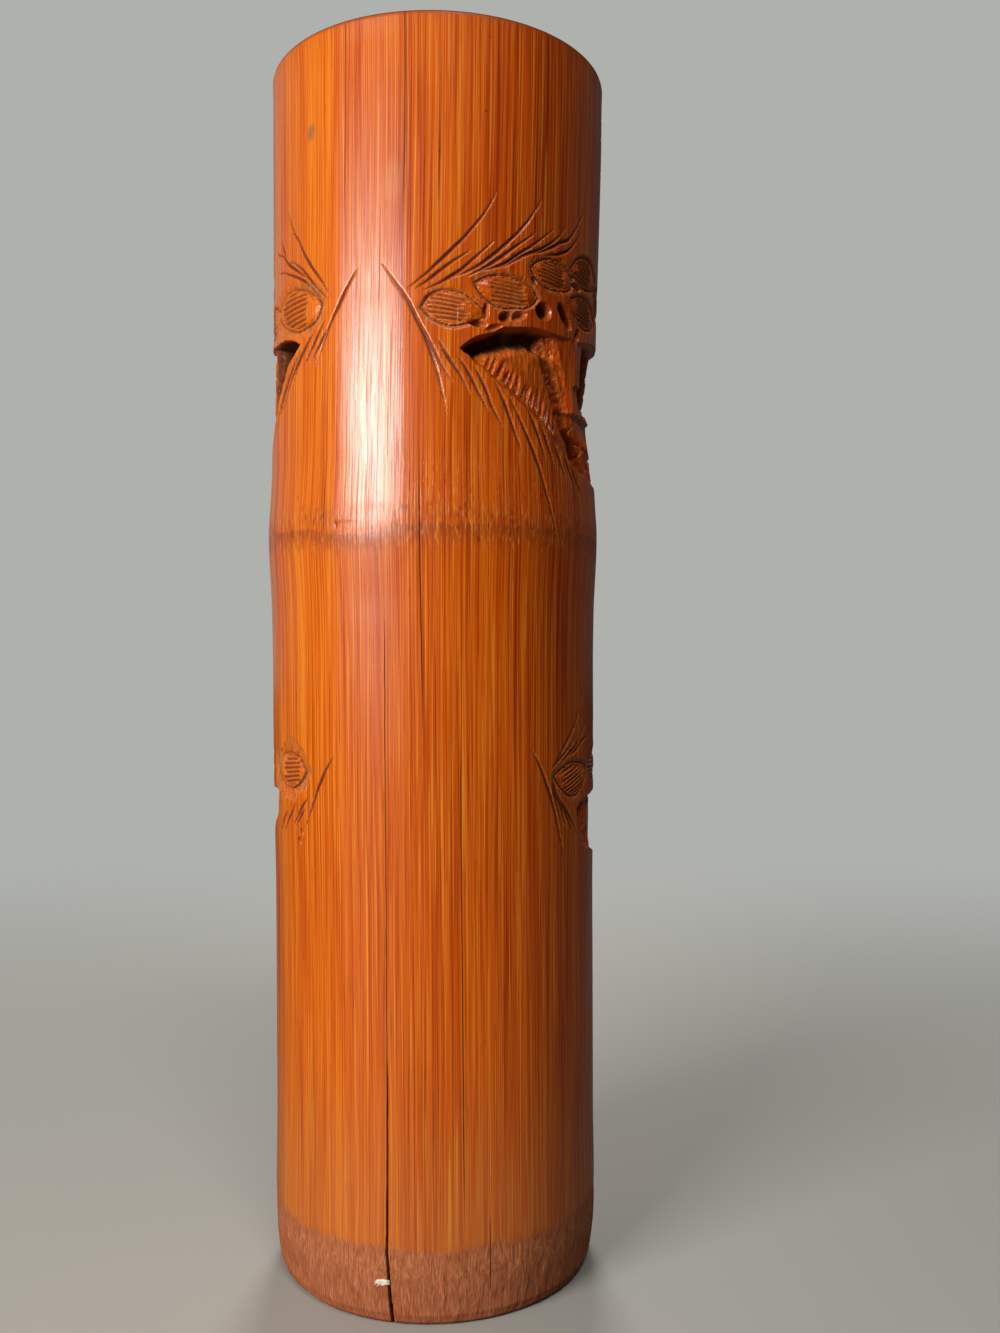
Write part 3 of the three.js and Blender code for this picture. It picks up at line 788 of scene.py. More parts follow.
cracks = {
    "depth": 3,
    # [degrees, height, width]
    "open": [[
        (-11.8, 0, .72), (-12.4, 10.5, .62), (-13, 17, .5), (-12.8, 30, .34),
        (-12.7, 55, .12), (-12.7, 62, 0)]],
    # [degrees, height, width] of the hairlines that the material draws
    "hairlines": [
        [(-12.7, 175, 0), (-12.7, 168, .1), (-12.7, 110, .14), (-12.8, 22, .18)],
        [(-7.4, 300, .15), (-7.3, 280, .12), (-7.2, 258, .08), (-7.2, 243, 0)],
        [(-1.8, 212, 0), (-1.6, 203, .16), (-1.1, 185, .24), (-.6, 168, .16), (-.4, 128, 0)],
        [(11.2, 146, 0), (11.3, 120, .14), (12, 40, .18), (12.2, 15, 0)],
        [(20.6, 31, 0), (20.7, 22, .16), (20.8, 8, .12)],
        [(-34.4, 204, 0), (-34.2, 190, .2), (-34, 174, 0)],
        [(-15, 264, 0), (-15, 245, .1), (-15, 226, 0)],
        [(3.6, 282, 0), (3.6, 268, .09), (3.6, 250, 0)],
        [(-27.4, 299, .1), (-27.5, 270, .1), (-27.6, 248, 0)],
    ],
}

for table in (upperCarving, lowerCarving):
    carve(table)
for table in (upperCarving, lowerCarving):
    for points in lipNeedles(table["scene"], table["lip"], *table["lipNeedles"]):
        strike(table["scene"], points)
print("carving drawn:", depth.shape, "deepest", round(float(depth.max()), 2), "mm")
drawCracks()

# The skin itself: node, scraped foot and slow undulation
skin = {
    "nodeFold": (184.2, .16, 1.6),      # height, depth and width of the sheath scar
    "nodeBand": (176.5, 188.5),
    "nodePits": 150,
    "footBand": 18.5,
    "footFacets": (1.5, 6),
    # nearly flat runs of the grown culm: degrees, share of a true flat, lowest and highest mm
    "flats": [(-29.6, -7, .2, 183, 300), (8, 34, .16, 0, 300), (-62, -30, .14, 0, 300)],
}

nodeLow, nodeHigh = skin["nodeBand"]
foldHeight, foldDepth, foldWidth = skin["nodeFold"]
foldHeight = (foldHeight + .9 * ripple(gridDegrees, gridHeights * 0, 14, 60, 51)
              + .25 * ripple(gridDegrees, gridHeights * 0, 2.2, 60, 52))
nodeBand = smoothStep(gridHeights, nodeLow, nodeLow + 4) * (
    1 - smoothStep(gridHeights, nodeHigh - 3, nodeHigh + 1.5))
fold = foldDepth * np.clip(1 - np.abs(gridHeights - foldHeight) / foldWidth, 0, 1) ** 1.3
fold *= .6 + .4 * ripple(gridDegrees, gridHeights * 0, 7, 60, 53)
random = np.random.default_rng(54)
nodeDots = np.zeros(depth.shape)
around = (culm["firstDegree"], culm["firstDegree"] + 360)
for degrees, height, radius in zip(random.uniform(*around, skin["nodePits"]),
                                   random.normal(culm["nodeHeight"], 2.6, skin["nodePits"]),
                                   random.uniform(.2, .42, skin["nodePits"])):
    centre = np.array([[math.radians(degrees) * culm["skinRadius"], height]])
    part, along, tall = window(centre, 1)
    far = np.hypot(along - centre[0, 0], (tall - height) * .35) / radius
    nodeDots[part] = np.maximum(nodeDots[part], np.clip(1 - far, 0, 1))

footEdge = (skin["footBand"] + 1.3 * ripple(gridDegrees, gridHeights * 0, 17, 60, 55)
            + .5 * ripple(gridDegrees, gridHeights * 0, 3, 60, 56))
footBand = 1 - smoothStep(gridHeights, footEdge - 2.1, footEdge + 2.1)
_, _, facet = cells(gridDegrees, gridHeights, *skin["footFacets"], 57)
scrape = culm["footScrape"] * footBand * (.35 + .65 * facet) * smoothStep(gridHeights, .2, 2)

slow = .5 + .5 * ripple(gridDegrees, gridHeights, 21, 55, 61)
slow = .7 * slow + .3 * (.5 + .5 * ripple(gridDegrees, gridHeights, 6, 40, 62))
for start, end, share, low, high in skin["flats"]:
    middle, half = math.radians((start + end) / 2), math.radians((end - start) / 2)
    turned = (np.radians(gridDegrees) - middle + math.pi) % math.tau - math.pi
    turned = np.clip(turned, -half, half)
    sag = culm["skinRadius"] * (1 - math.cos(half) / np.cos(turned)) * share
    slow = slow + sag / culm["undulation"] * smoothStep(gridHeights, low, low + 6)
surface = depth + culm["undulation"] * slow * (1 - carved)
surface = np.maximum(surface, depth + fold + .12 * nodeDots)
surface = surface + scrape


# Materials
def shade(code):
    channels = [int(code[i:i + 2], 16) / 255 for i in (1, 3, 5)]
    linear = [c / 12.92 if c <= .04045 else ((c + .055) / 1.055) ** 2.4 for c in channels]
    return (*linear, 1)


def addNode(tree, kind, inputs=None, **settings):
    made = tree.nodes.new(kind)
    for name, value in settings.items():
        setattr(made, name, value)
    for name, value in (inputs or {}).items():
        if isinstance(value, bpy.types.NodeSocket):
            tree.links.new(value, made.inputs[name])
        else:
            made.inputs[name].default_value = value
    return made


def maths(tree, operation, first, second=0.0, third=0.0, clamp=False):
    return addNode(tree, "ShaderNodeMath", {0: first, 1: second, 2: third},
                   operation=operation, use_clamp=clamp).outputs[0]


def overlap(tree, first, *others):
    # the share that is left where all of them meet
    for other in others:
        first = maths(tree, "MULTIPLY", first, other)
    return first


def strongest(tree, first, *others):
    for other in others:
        first = maths(tree, "MAXIMUM", first, other)
    return first


def summed(tree, total, parts):
    # each part is a value and its weight
    for value, weight in parts:
        total = maths(tree, "MULTIPLY_ADD", value, weight, total)
    return total


def ranged(tree, value, low, high, toLow=0.0, toHigh=1.0, smooth=True):
    return addNode(tree, "ShaderNodeMapRange", {
        "Value": value, "From Min": low, "From Max": high, "To Min": toLow, "To Max": toHigh},
        interpolation_type="SMOOTHSTEP" if smooth else "LINEAR").outputs["Result"]


def mixed(tree, share, first, second, blend="MIX"):
    return addNode(tree, "ShaderNodeMix", {0: share, 6: first, 7: second},
                   data_type="RGBA", blend_type=blend).outputs[2]


def layered(tree, colour, layers):
    # paints over a colour: each layer is its share, and a hex colour or another socket
    for share, over in layers:
        over = shade(over) if isinstance(over, str) else over
        colour = mixed(tree, share, colour, over)
    return colour


def ramped(tree, value, places, codes):
    made = addNode(tree, "ShaderNodeValToRGB", {0: value})
    ramp = made.color_ramp
    while len(ramp.elements) < len(places):
        ramp.elements.new(.5)
    for element, place, code in zip(ramp.elements, places, codes):
        element.position = place
        element.color = shade(code)
    return made.outputs["Color"]


def vertexValue(tree, name, output="Fac"):
    return addNode(tree, "ShaderNodeAttribute", attribute_name=name).outputs[output]


def grain(tree, place, across, along, detail=2.0, roughness=.5, shift=0.0):
    # noise stretched along the culm; across and along are its grain in the place's own unit
    mapped = addNode(tree, "ShaderNodeMapping", {
        "Vector": place, "Location": (shift, shift * .7, shift * 1.3),
        "Scale": (1 / across, 1 / across, 1 / along)}).outputs[0]
    return addNode(tree, "ShaderNodeTexNoise", {
        "Vector": mapped, "Scale": 1.0, "Detail": detail, "Roughness": roughness}).outputs[0]


def newMaterial(name):
    material = bpy.data.materials.new(name)
    material.use_nodes = True
    tree = material.node_tree
    return material, tree, tree.nodes["Principled BSDF"]


def finished(tree, shader, colour, relief, strength, distance):
    # the colour and a small relief go into the shader
    bump = addNode(tree, "ShaderNodeBump", {
        "Strength": strength, "Distance": distance, "Height": relief}).outputs[0]
    tree.links.new(colour, shader.inputs["Base Color"])
    tree.links.new(bump, shader.inputs["Normal"])
    return bump


skinFinish = {
    # width and length of the fibres and grains, mm
    "fibre": (.38, 60),
    "strand": (.95, 90),
    "broad": (11, 130),
    "brightFibre": (.32, 46),
    "fleck": (.3, 9),
    "sunkenFibre": (.26, 24),
    "nodeFibre": (.5, 2.8),
    "tick": (.18, 5),
    "cutGrain": (.9, 2.2),
    "brokenEdge": (.35, .45),
    "wornFibre": (.26, 26),
    "footFibre": (.24, 3),
    "feather": (.3, 3),
    "footPatch": (2.6, 4),
    "footRing": (.5, 1.3),
    "wander": (60, 9),
    # dark, middle and light threads of the skin: at the left, and darker and redder towards +X,
    # the side away from the lamp, as painted shade
    "skin": ("#B44402", "#E06603", "#F68E1E"),
    "shadedSide": ("#942802", "#D25000", "#EA7610"),
    "towardShadedSide": (-34, 38),      # where the one goes over into the other, mm along X
    "strip": ("#CE5414", .26),
    "stripEdges": (-29.9, -29.2, -7.4, -6.6),    # degrees
    "bright": "#FA9C30",
    "flecks": ("#8A3206", .45),
    "node": "#A84206",
    "scarAndShadow": "#96400A",
    "scarAndShadowHeights": ((178, 183), (183.2, 184)),   # it comes and goes over these heights, mm
    "scarAndShadowDip": (17, 3, 12, 1.9),     # how far left, inner and outer half width, and depth, mm
    "nodeLight": ("#F29A3C", .55),
    "tickLight": ("#FBB868", .6),
    "nodeDots": "#3C1406",
    "recess": ("#8A3E08", "#D07A20"),
    # painted shade for the deep corners, pits and the recess's dark end
    "paintedShade": "#240C04",
    "rawCut": ("#8E4A20", "#CE8C50"),
    "needle": ("#DE7824", "#A24812", "#782E0C"),
    "dusty": "#C07848",
    "dustyHeights": (14, 62),
    "worn": "#E2964E",
    "wornHeights": (16, 80),
    "foot": ("#843E1E", "#BE6C44", "#DA9466"),
    "footStain": "#9C5028",
    "footLine": "#D88A4A",
    "footLineHeights": ((10.5, 12.6), (14.4, 16.4)),
    "rim": ("#B04C0C", "#521C06"),
    "hairline": "#2E0A02",
    "openCrack": "#1C0C06",
    "relief": .000018,         # how far the threads stand proud, m
    # [degrees, height, half width and half height in mm, strength, colour]
    "stains": [
        (-42.3, 277, (2.2, 2.6), .7, "#6E5A4A"), (-11, 262, (2.6, 7), .16, "#F4BC84"),
        (18.9, 295, (.35, .35), .9, "#2E1006"), (17.9, 278, (.5, .4), .9, "#7A1C06"),
        (3.4, 268, (.3, .5), .9, "#4A1A08"), (10, 231, (.22, 2.6), .9, "#F2BC94"),
        (50.6, 121.3, (.4, .35), 1, "#F6E6D6"), (30, 232, (2.4, 9), .2, "#F8B470")],
}


def risesAndFalls(tree, value, rising, falling):
    # a share that rises over one range of a value and falls over the next
    return overlap(tree, ranged(tree, value, *rising), ranged(tree, value, *falling, 1, 0))


def skinTone(tree, place, across, angle):
    # light and dark threads, gathered in wider strands, and painted shade: darker and redder
    # towards +X, the side away from the lamp
    finish = skinFinish
    strand = grain(tree, place, *finish["strand"], 2, .5, 5)
    threads = ranged(tree, grain(tree, place, *finish["fibre"], 2.5, .6), .3, .7, -1, 1)
    strands = ranged(tree, strand, .3, .7, -1, 1)
    wide = ranged(tree, grain(tree, place, *finish["broad"], 1, .5, 9), .3, .7, -1, 1)
    tone = summed(tree, .48, [(threads, .27), (strands, .1), (wide, .1)])
    left, shadedSide = [ramped(tree, tone, (.1, .48, .92), finish[side]) for side in ("skin", "shadedSide")]
    towardShadedSide = ranged(tree, across, *finish["towardShadedSide"])
    # one strip of the culm grew redder, with a sharp left edge
    edges = np.radians(finish["stripEdges"])
    strip = risesAndFalls(tree, angle, edges[:2], edges[2:])
    # single bright fibres, and short dark ends of others
    bright = ranged(tree, grain(tree, place, *finish["brightFibre"], 1, .5, 13), .56, .66)
    bright = overlap(tree, bright, ranged(tree, strand, .35, .6, .25, .7))
    flecks = ranged(tree, grain(tree, place, *finish["fleck"], 1, .5, 17), .66, .74)
    colour = layered(tree, left, [
        (towardShadedSide, shadedSide), (overlap(tree, strip, finish["strip"][1]), finish["strip"][0]),
        (bright, finish["bright"]),
        (overlap(tree, flecks, finish["flecks"][1]), finish["flecks"][0])])
    return colour, threads, strands


def nodeTone(tree, place, across, height, colour):
    # the sheath's scar: a band of short broken fibres with bright ends
    finish = skinFinish
    band = vertexValue(tree, "nodeBand")
    fibre = grain(tree, place, *finish["nodeFibre"], 3, .65, 23)
    dark = overlap(tree, band, ranged(tree, fibre, .44, .6, 0, .5))
    # it ends upwards in a dark line, partly the scar's own colour and partly painted shadow under
    # the node's ledge, dips left of the middle and fades downwards
    aside, inner, outer, deep = finish["scarAndShadowDip"]
    dip = maths(tree, "ABSOLUTE", maths(tree, "ADD", across, aside))
    level = maths(tree, "ADD", height, ranged(tree, dip, inner, outer, deep, 0))
    scarAndShadow = overlap(tree, risesAndFalls(tree, level, *finish["scarAndShadowHeights"]),
                   ranged(tree, fibre, .3, .6, .2, .55))
    lit = overlap(tree, band, ranged(tree, fibre, .42, .34))
    # bright ticks above it, mostly right of the long highlight
    ticks = ranged(tree, grain(tree, place, *finish["tick"], 2, .6, 27), .62, .69)
    ticks = overlap(tree, ticks, ranged(tree, height, 179, 186),
                    ranged(tree, across, -16, 4, .25, 1), ranged(tree, height, 192, 206, 1, 0))
    dots = maths(tree, "MULTIPLY", vertexValue(tree, "nodeDots"), .8, clamp=True)
    colour = layered(tree, colour, [
        (dark, finish["node"]), (scarAndShadow, finish["scarAndShadow"]),
        (overlap(tree, lit, finish["nodeLight"][1]), finish["nodeLight"][0]),
        (overlap(tree, ticks, finish["tickLight"][1]), finish["tickLight"][0]),
        (dots, finish["nodeDots"])])
    return colour, band, fibre, ticks


def cutTone(tree, place, colour):
    # cuts: darker the deeper they go, rough and greyish round the pads
    finish = skinFinish
    carvedShare, shadowed, line, rawShare = [
        vertexValue(tree, name) for name in ("carved", "shadowed", "lineDepth", "raw")]
    cutGrain = ranged(tree, grain(tree, place, *finish["cutGrain"], 3, .6, 31), .3, .7)
    deep, scraped = [
        ramped(tree, cutGrain, (0, 1), finish[name]) for name in ("recess", "rawCut")]
    paintedShade = overlap(tree, shadowed, .8)    # painted shade in the deep corners, pits and the recess's dark end
    # needles: bright where the knife thinned the skin's edge, red-brown at the bottom
    broken = grain(tree, place, *finish["brokenEdge"], 1, .5, 35)
    broken = ranged(tree, broken, .35, .7, -.14, .14)
    groove = ramped(tree, maths(tree, "ADD", line, broken), (.06, .32, .72), finish["needle"])
    colour = layered(tree, colour, [
        (overlap(tree, carvedShare, .8), deep), (paintedShade, finish["paintedShade"]),
        (ranged(tree, line, .01, .16), groove), (overlap(tree, rawShare, .6), scraped)])
    return colour, carvedShare, paintedShade, line, rawShare, cutGrain


def footTone(tree, place, height, colour):
    # just above the foot the polish has worn off the proud fibres, which look dusty
    finish = skinFinish
    dusty = ranged(tree, height, *finish["dustyHeights"], .3, 0)
    worn = ranged(tree, grain(tree, place, *finish["wornFibre"], 2, .6, 39), .46, .64)
    worn = overlap(tree, ranged(tree, height, *finish["wornHeights"], 1, 0), worn)
    # the foot is scraped bare and dull, with short torn fibres and a feathered upper edge
    fibre = grain(tree, place, *finish["footFibre"], 3, .7, 41)
    feather = ranged(tree, grain(tree, place, *finish["feather"], 3, .7, 43), .3, .7, -.4, .4)
    band = maths(tree, "ADD", vertexValue(tree, "footBand"), feather)
    band = ranged(tree, band, .26, .74)
    bare = ramped(tree, ranged(tree, fibre, .16, .84), (.1, .5, .95), finish["foot"])
    patch = ranged(tree, grain(tree, place, *finish["footPatch"], 3, .6, 45), .4, .66)
    ring = ranged(tree, grain(tree, place, *finish["footRing"], 2, .6, 47), .5, .68)
    ring = overlap(tree, risesAndFalls(tree, height, *finish["footLineHeights"]), ring)
    bare = layered(tree, bare, [(overlap(tree, patch, .4), finish["footStain"]),
                                (overlap(tree, ring, .75), finish["footLine"])])
    colour = layered(tree, colour, [
        (dusty, finish["dusty"]), (overlap(tree, worn, .34), finish["worn"]), (band, bare)])
    return colour, band, fibre, worn


def hairlines(tree, around, height):
    # fine drying cracks: straight lines that thin out at their free ends
    lines = []
    for crack in cracks["hairlines"]:
        low, high = min(crack, key=lambda p: p[1]), max(crack, key=lambda p: p[1])
        width = max(point[2] for point in crack)
        sides = np.radians((low[0], high[0])) * culm["skinRadius"]
        middle = ranged(tree, height, low[1], high[1], *sides, smooth=False)
        far = maths(tree, "ABSOLUTE", maths(tree, "SUBTRACT", around, middle))
        fade = min(24, (high[1] - low[1]) * .45)
        rising = (low[1] - .01, low[1] + fade) if low[2] < .05 else (low[1] - .5, low[1])
        falling = (high[1] - fade, high[1]) if high[2] < .05 else (high[1], high[1] + .5)
        there = risesAndFalls(tree, height, rising, falling)
        edge = maths(tree, "SUBTRACT", far, overlap(tree, there, width / 2))
        lines.append(overlap(tree, ranged(tree, edge, -.02, .06, 1, 0), there))
    return strongest(tree, *lines)


def stained(tree, place, around, height, colour):
    # small marks of use on the back
    for degrees, level, size, strength, stain in skinFinish["stains"]:
        aside = maths(tree, "SUBTRACT", around, math.radians(degrees) * culm["skinRadius"])
        aside = maths(tree, "DIVIDE", aside, size[0])
        above = maths(tree, "DIVIDE", maths(tree, "SUBTRACT", height, level), size[1])
        far = maths(tree, "MULTIPLY_ADD", above, above, overlap(tree, aside, aside))
        far = maths(tree, "SQRT", far)
        broken = grain(tree, place, .35, min(size[1] * .4, 2.4), 3, .7, 61)
        spot = overlap(tree, ranged(tree, far, .3, 1, 1, 0),
                       ranged(tree, broken, .36, .56, .15, strength))
        colour = layered(tree, colour, [(spot, stain)])
    return colour


def bambooSkin():
    # aged and polished bamboo skin: fine upright fibre streaks under a thin old gloss
    material, tree, shader = newMaterial("Aged polished bamboo skin")
    finish = skinFinish
    place = vertexValue(tree, "grainPlace", "Vector")
    across, away, height = addNode(tree, "ShaderNodeSeparateXYZ", {0: place}).outputs
    angle = maths(tree, "ARCTAN2", across, maths(tree, "MULTIPLY", away, -1))
    colour, threads, strands = skinTone(tree, place, across, angle)
    colour, nodeBand, nodeFibre, ticks = nodeTone(tree, place, across, height, colour)
    colour, carvedShare, paintedShade, line, rawShare, cutGrain = cutTone(tree, place, colour)
    colour, footBand, footFibre, worn = footTone(tree, place, height, colour)
    # rim: the rounded edge is coloured darker
    rimBand = vertexValue(tree, "rimBand")
    rimTone = layered(tree, shade(finish["rim"][0]), [
        (ranged(tree, rimBand, .5, .95), finish["rim"][1])])
    wander = grain(tree, place, *finish["wander"], 2, .6, 51)
    wander = maths(tree, "MULTIPLY_ADD", wander, .3, -.15)
    around = maths(tree, "ADD", maths(tree, "MULTIPLY", angle, culm["skinRadius"]), wander)
    lines = hairlines(tree, around, height)
    openCrack = vertexValue(tree, "openCrack")
    colour = layered(tree, colour, [
        (ranged(tree, rimBand, 0, .5, 0, .8), rimTone),
        (overlap(tree, lines, .95), finish["hairline"]), (openCrack, finish["openCrack"])])
    colour = stained(tree, place, around, height, colour)

    # the gloss is broken along single sunken fibres, and dull where the skin was cut or worn
    sunken = ranged(tree, grain(tree, place, *finish["sunkenFibre"], 2, .6, 71), .49, .61)
    gap = strongest(tree, lines, openCrack, overlap(tree, line, .7), paintedShade)
    rough = summed(tree, .26, [
        (threads, .05), (sunken, .22), (carvedShare, .3), (rawShare, .3), (gap, .7),
        (nodeBand, .1), (worn, .12), (rimBand, .4), (footBand, .4)])
    dull = strongest(tree, footBand, carvedShare, rawShare, overlap(tree, sunken, .85), gap,
                     rimBand)
    # threads stand a few hundredths of a millimetre proud
    relief = summed(tree, threads, [
        (strands, .5), (lines, -2), (overlap(tree, nodeFibre, nodeBand), 6), (ticks, 1.6),
        (overlap(tree, footFibre, footBand), 2.6), (overlap(tree, cutGrain, carvedShare), 5),
        (overlap(tree, cutGrain, rawShare), 5)])
    bump = finished(tree, shader, colour, relief, .4, finish["relief"])
    tree.links.new(bump, shader.inputs["Coat Normal"])
    tree.links.new(maths(tree, "MINIMUM", rough, 1.0), shader.inputs["Roughness"])
    coat = maths(tree, "MULTIPLY_ADD", dull, -.55, .55, clamp=True)
    tree.links.new(coat, shader.inputs["Coat Weight"])
    shader.inputs["Coat Roughness"].default_value = .2
    shader.inputs["Specular IOR Level"].default_value = .42
    return material


def rawBore():
    # bare inner wall: pale, dusty and fibrous
    material, tree, shader = newMaterial("Bare inner bamboo")
    place = addNode(tree, "ShaderNodeTexCoord").outputs["Object"]
    fibre = grain(tree, place, .0006, .03, 3, .6)
    stain = ranged(tree, grain(tree, place, .014, .03, 2, .5, 3), .4, .75, 0, .5)
    colour = ramped(tree, fibre, (.3, .7), ("#8A5E32", "#C79B63"))
    finished(tree, shader, layered(tree, colour, [(stain, "#6E4522")]), fibre, .6, .0001)
    shader.inputs["Roughness"].default_value = .75
    return material


def endGrain():
    # sawn and rubbed rim: the ends of the fibre bundles show as dark dots
    material, tree, shader = newMaterial("Rubbed bamboo end grain")
    place = addNode(tree, "ShaderNodeTexCoord").outputs["Object"]
    bundle = .00075
    dots = addNode(tree, "ShaderNodeTexVoronoi", {
        "Vector": place, "Scale": 1 / bundle, "Randomness": .85}).outputs["Distance"]
    cloud = ranged(tree, grain(tree, place, .006, .006, 2, .5), .4, .7, 0, .5)
    colour = ramped(tree, dots, (.12, .3, .6), ("#6A3212", "#B0662C", "#C9803E"))
    finished(tree, shader, layered(tree, colour, [(cloud, "#8E4A1C")]), dots, .4, .00008)
    shader.inputs["Roughness"].default_value = .5
    shader.inputs["Coat Weight"].default_value = .15
    return material


def bareSeptum():
    # diaphragm: thin pale woody skin with faint rings and darker blotches
    material, tree, shader = newMaterial("Bare bamboo diaphragm")
    place = addNode(tree, "ShaderNodeTexCoord").outputs["Object"]
    mottle = grain(tree, place, .003, .003, 4, .6)
    blotch = ranged(tree, grain(tree, place, .012, .012, 2, .5, 6), .5, .75, 0, .5)
    rings = addNode(tree, "ShaderNodeTexWave", {
        "Vector": place, "Scale": 90.0, "Distortion": 6.0, "Detail": 2.0,
        "Detail Scale": 3.0}, wave_type="RINGS", rings_direction="Z").outputs[1]
    colour = ramped(tree, mottle, (.3, .7), ("#7A512C", "#B98A55"))
    colour = layered(tree, colour, [
        (ranged(tree, rings, .2, .9, 0, .25), "#5E3A1E"), (blotch, "#4E3018")])
    finished(tree, shader, colour, mottle, .5, .0002)
    shader.inputs["Roughness"].default_value = .8
    return material


skinMaterial, boreMaterial, grainMaterial = bambooSkin(), rawBore(), endGrain()
septumMaterial = bareSeptum()
print("materials ready")

# The culm's mesh: outside, rim, bore and foot as one closed loop of rows
rimRows = [   # (radius, height) over the rim and in to the bore
    (42.57, 298.8), (42.56, 299.3), (42.47, 299.6), (42.25, 299.84), (41.8, 299.97),
    (40.6, 300), (39.4, 300), (38, 300), (36.4, 300), (35, 300), (34.2, 299.97),
    (33.45, 299.8), (32.95, 299.35), (32.65, 298.8), (32.6, 298.2)]
footRows = [  # across the foot, from the bore out
    (30.2, 0), (31.4, 0), (33, 0), (35, 0), (36.8, 0), (37.8, 0)]
roundedRows = 5      # the first of rimRows: the rounded edge is still skin
bandRows = 104
shortestBand = 40
cutRows = list(range(0, len(rowHeights), bandRows))
if len(rowHeights) - cutRows[-1] < shortestBand:
    cutRows.pop()
cutRows.append(len(rowHeights) - 1)
boreHeights = sorted({297., 290., 270., 250., 230., 210., 195., 186., 183., 182.3, 182.1, 180.,
                      178.5, 176., 173., 169.5, 160., 140., 120., 100., 80., 60., 40., 20.,
                      13., 11.9, 11.5, 8., 4., 1.}
                     | {float(rowHeights[row]) for row in cutRows[1:-1]}, reverse=True)

sine, cosine = np.sin(np.radians(columnDegrees)), np.cos(np.radians(columnDegrees))


def ringRow(radius, height):
    radius = np.broadcast_to(radius, columnDegrees.shape)
    height = np.broadcast_to(height, columnDegrees.shape)
    return np.column_stack([radius * sine + leanAt(height), -radius * cosine, height])


outerRows = [ringRow(skinAt(height) - surface[row], height)
             for row, height in enumerate(rowHeights)]
overRows = [ringRow(radius, height) for radius, height in rimRows]
innerRows = []
for height in boreHeights:
    fibres = .12 * ripple(columnDegrees, height, 2.4, 40, 71) + .1 * ripple(
        columnDegrees, height, 9, 30, 72)
    innerRows.append(ringRow(boreAt(height) + np.minimum(fibres, .05), height))
underRows = [ringRow(radius, height) for radius, height in footRows]
loop = np.array(outerRows + overRows + innerRows + underRows)

acrossStep = np.roll(loop, -1, axis=1) - np.roll(loop, 1, axis=1)
alongStep = np.roll(loop, -1, axis=0) - np.roll(loop, 1, axis=0)
normals = np.cross(acrossStep, alongStep)
normals /= np.linalg.norm(normals, axis=2, keepdims=True)

outerCount, overCount, innerCount = len(outerRows), len(overRows), len(innerRows)
rowKinds = np.repeat([0, 2, 1, 1], [outerCount, overCount, innerCount, len(underRows)])
rowKinds[outerCount:outerCount + roundedRows] = 0


def loopValues(values, overEdge=0):
    spread = np.zeros(loop.shape[:2])
    spread[:outerCount] = values
    spread[outerCount:outerCount + roundedRows] = np.reshape(overEdge, (-1, 1))
    return spread


openCrack = np.zeros(depth.shape)
crackWindow, _, _ = window(flat({"foot": 0, "height": 1}, [(-11.8, -1), (-13, 175)]), 1)
openCrack[crackWindow] = smoothStep(depth[crackWindow], .3, 1.4)
vertexValues = {
    "carved": loopValues(carved),
    "raw": loopValues(raw),
    "lineDepth": loopValues(mark * (1 - openCrack)),
    "shadowed": loopValues(paintedShadeMask),
    "nodeBand": loopValues(nodeBand),
    "nodeDots": loopValues(nodeDots),
    "footBand": loopValues(footBand),
    "rimBand": loopValues(0, (.15, .6, .85, .85, .85)),
    "openCrack": loopValues(openCrack),
}
grainRadius = np.full(loop.shape[:2], float(culm["skinRadius"]))
grainRadius[:outerCount] -= depth
grainPlace = np.stack([grainRadius * sine, -grainRadius * cosine, loop[:, :, 2]], axis=2)


def meshFromRows(name, rows, kinds, materials):
    # a closed ring of loop rows; kinds picks each row strip's material
    columns = loop.shape[1]
    count = len(rows)
    index = np.arange(count * columns).reshape(count, columns)
    right = np.roll(index, -1, axis=1)
    above, aboveRight = np.roll(index, -1, axis=0), np.roll(right, -1, axis=0)
    quads = np.stack([index, right, aboveRight, above], axis=2).reshape(-1, 4)
    mesh = bpy.data.meshes.new(name)
    mesh.vertices.add(count * columns)
    mesh.vertices.foreach_set("co", (loop[rows].reshape(-1) * mm).astype(np.float32))
    mesh.loops.add(quads.size)
    mesh.loops.foreach_set("vertex_index", quads.reshape(-1).astype(np.int32))
    mesh.polygons.add(len(quads))
    mesh.polygons.foreach_set("loop_start", np.arange(0, quads.size, 4, dtype=np.int32))
    strips = np.where(kinds == np.roll(kinds, -1), kinds, np.maximum(kinds, np.roll(kinds, -1)))
    mesh.polygons.foreach_set("material_index", np.repeat(strips, columns).astype(np.int32))
    for material in materials:
        mesh.materials.append(material)
    for label, values in vertexValues.items():
        layer = mesh.attributes.new(label, "FLOAT", "POINT")
        layer.data.foreach_set("value", values[rows].reshape(-1).astype(np.float32))
    layer = mesh.attributes.new("grainPlace", "FLOAT_VECTOR", "POINT")
    layer.data.foreach_set("vector", grainPlace[rows].reshape(-1).astype(np.float32))
    mesh.update()
    mesh.validate()
    mesh.normals_split_custom_set_from_vertices(normals[rows].reshape(-1, 3).tolist())
    made = bpy.data.objects.new(name, mesh)
    bpy.context.scene.collection.objects.link(made)
    return made


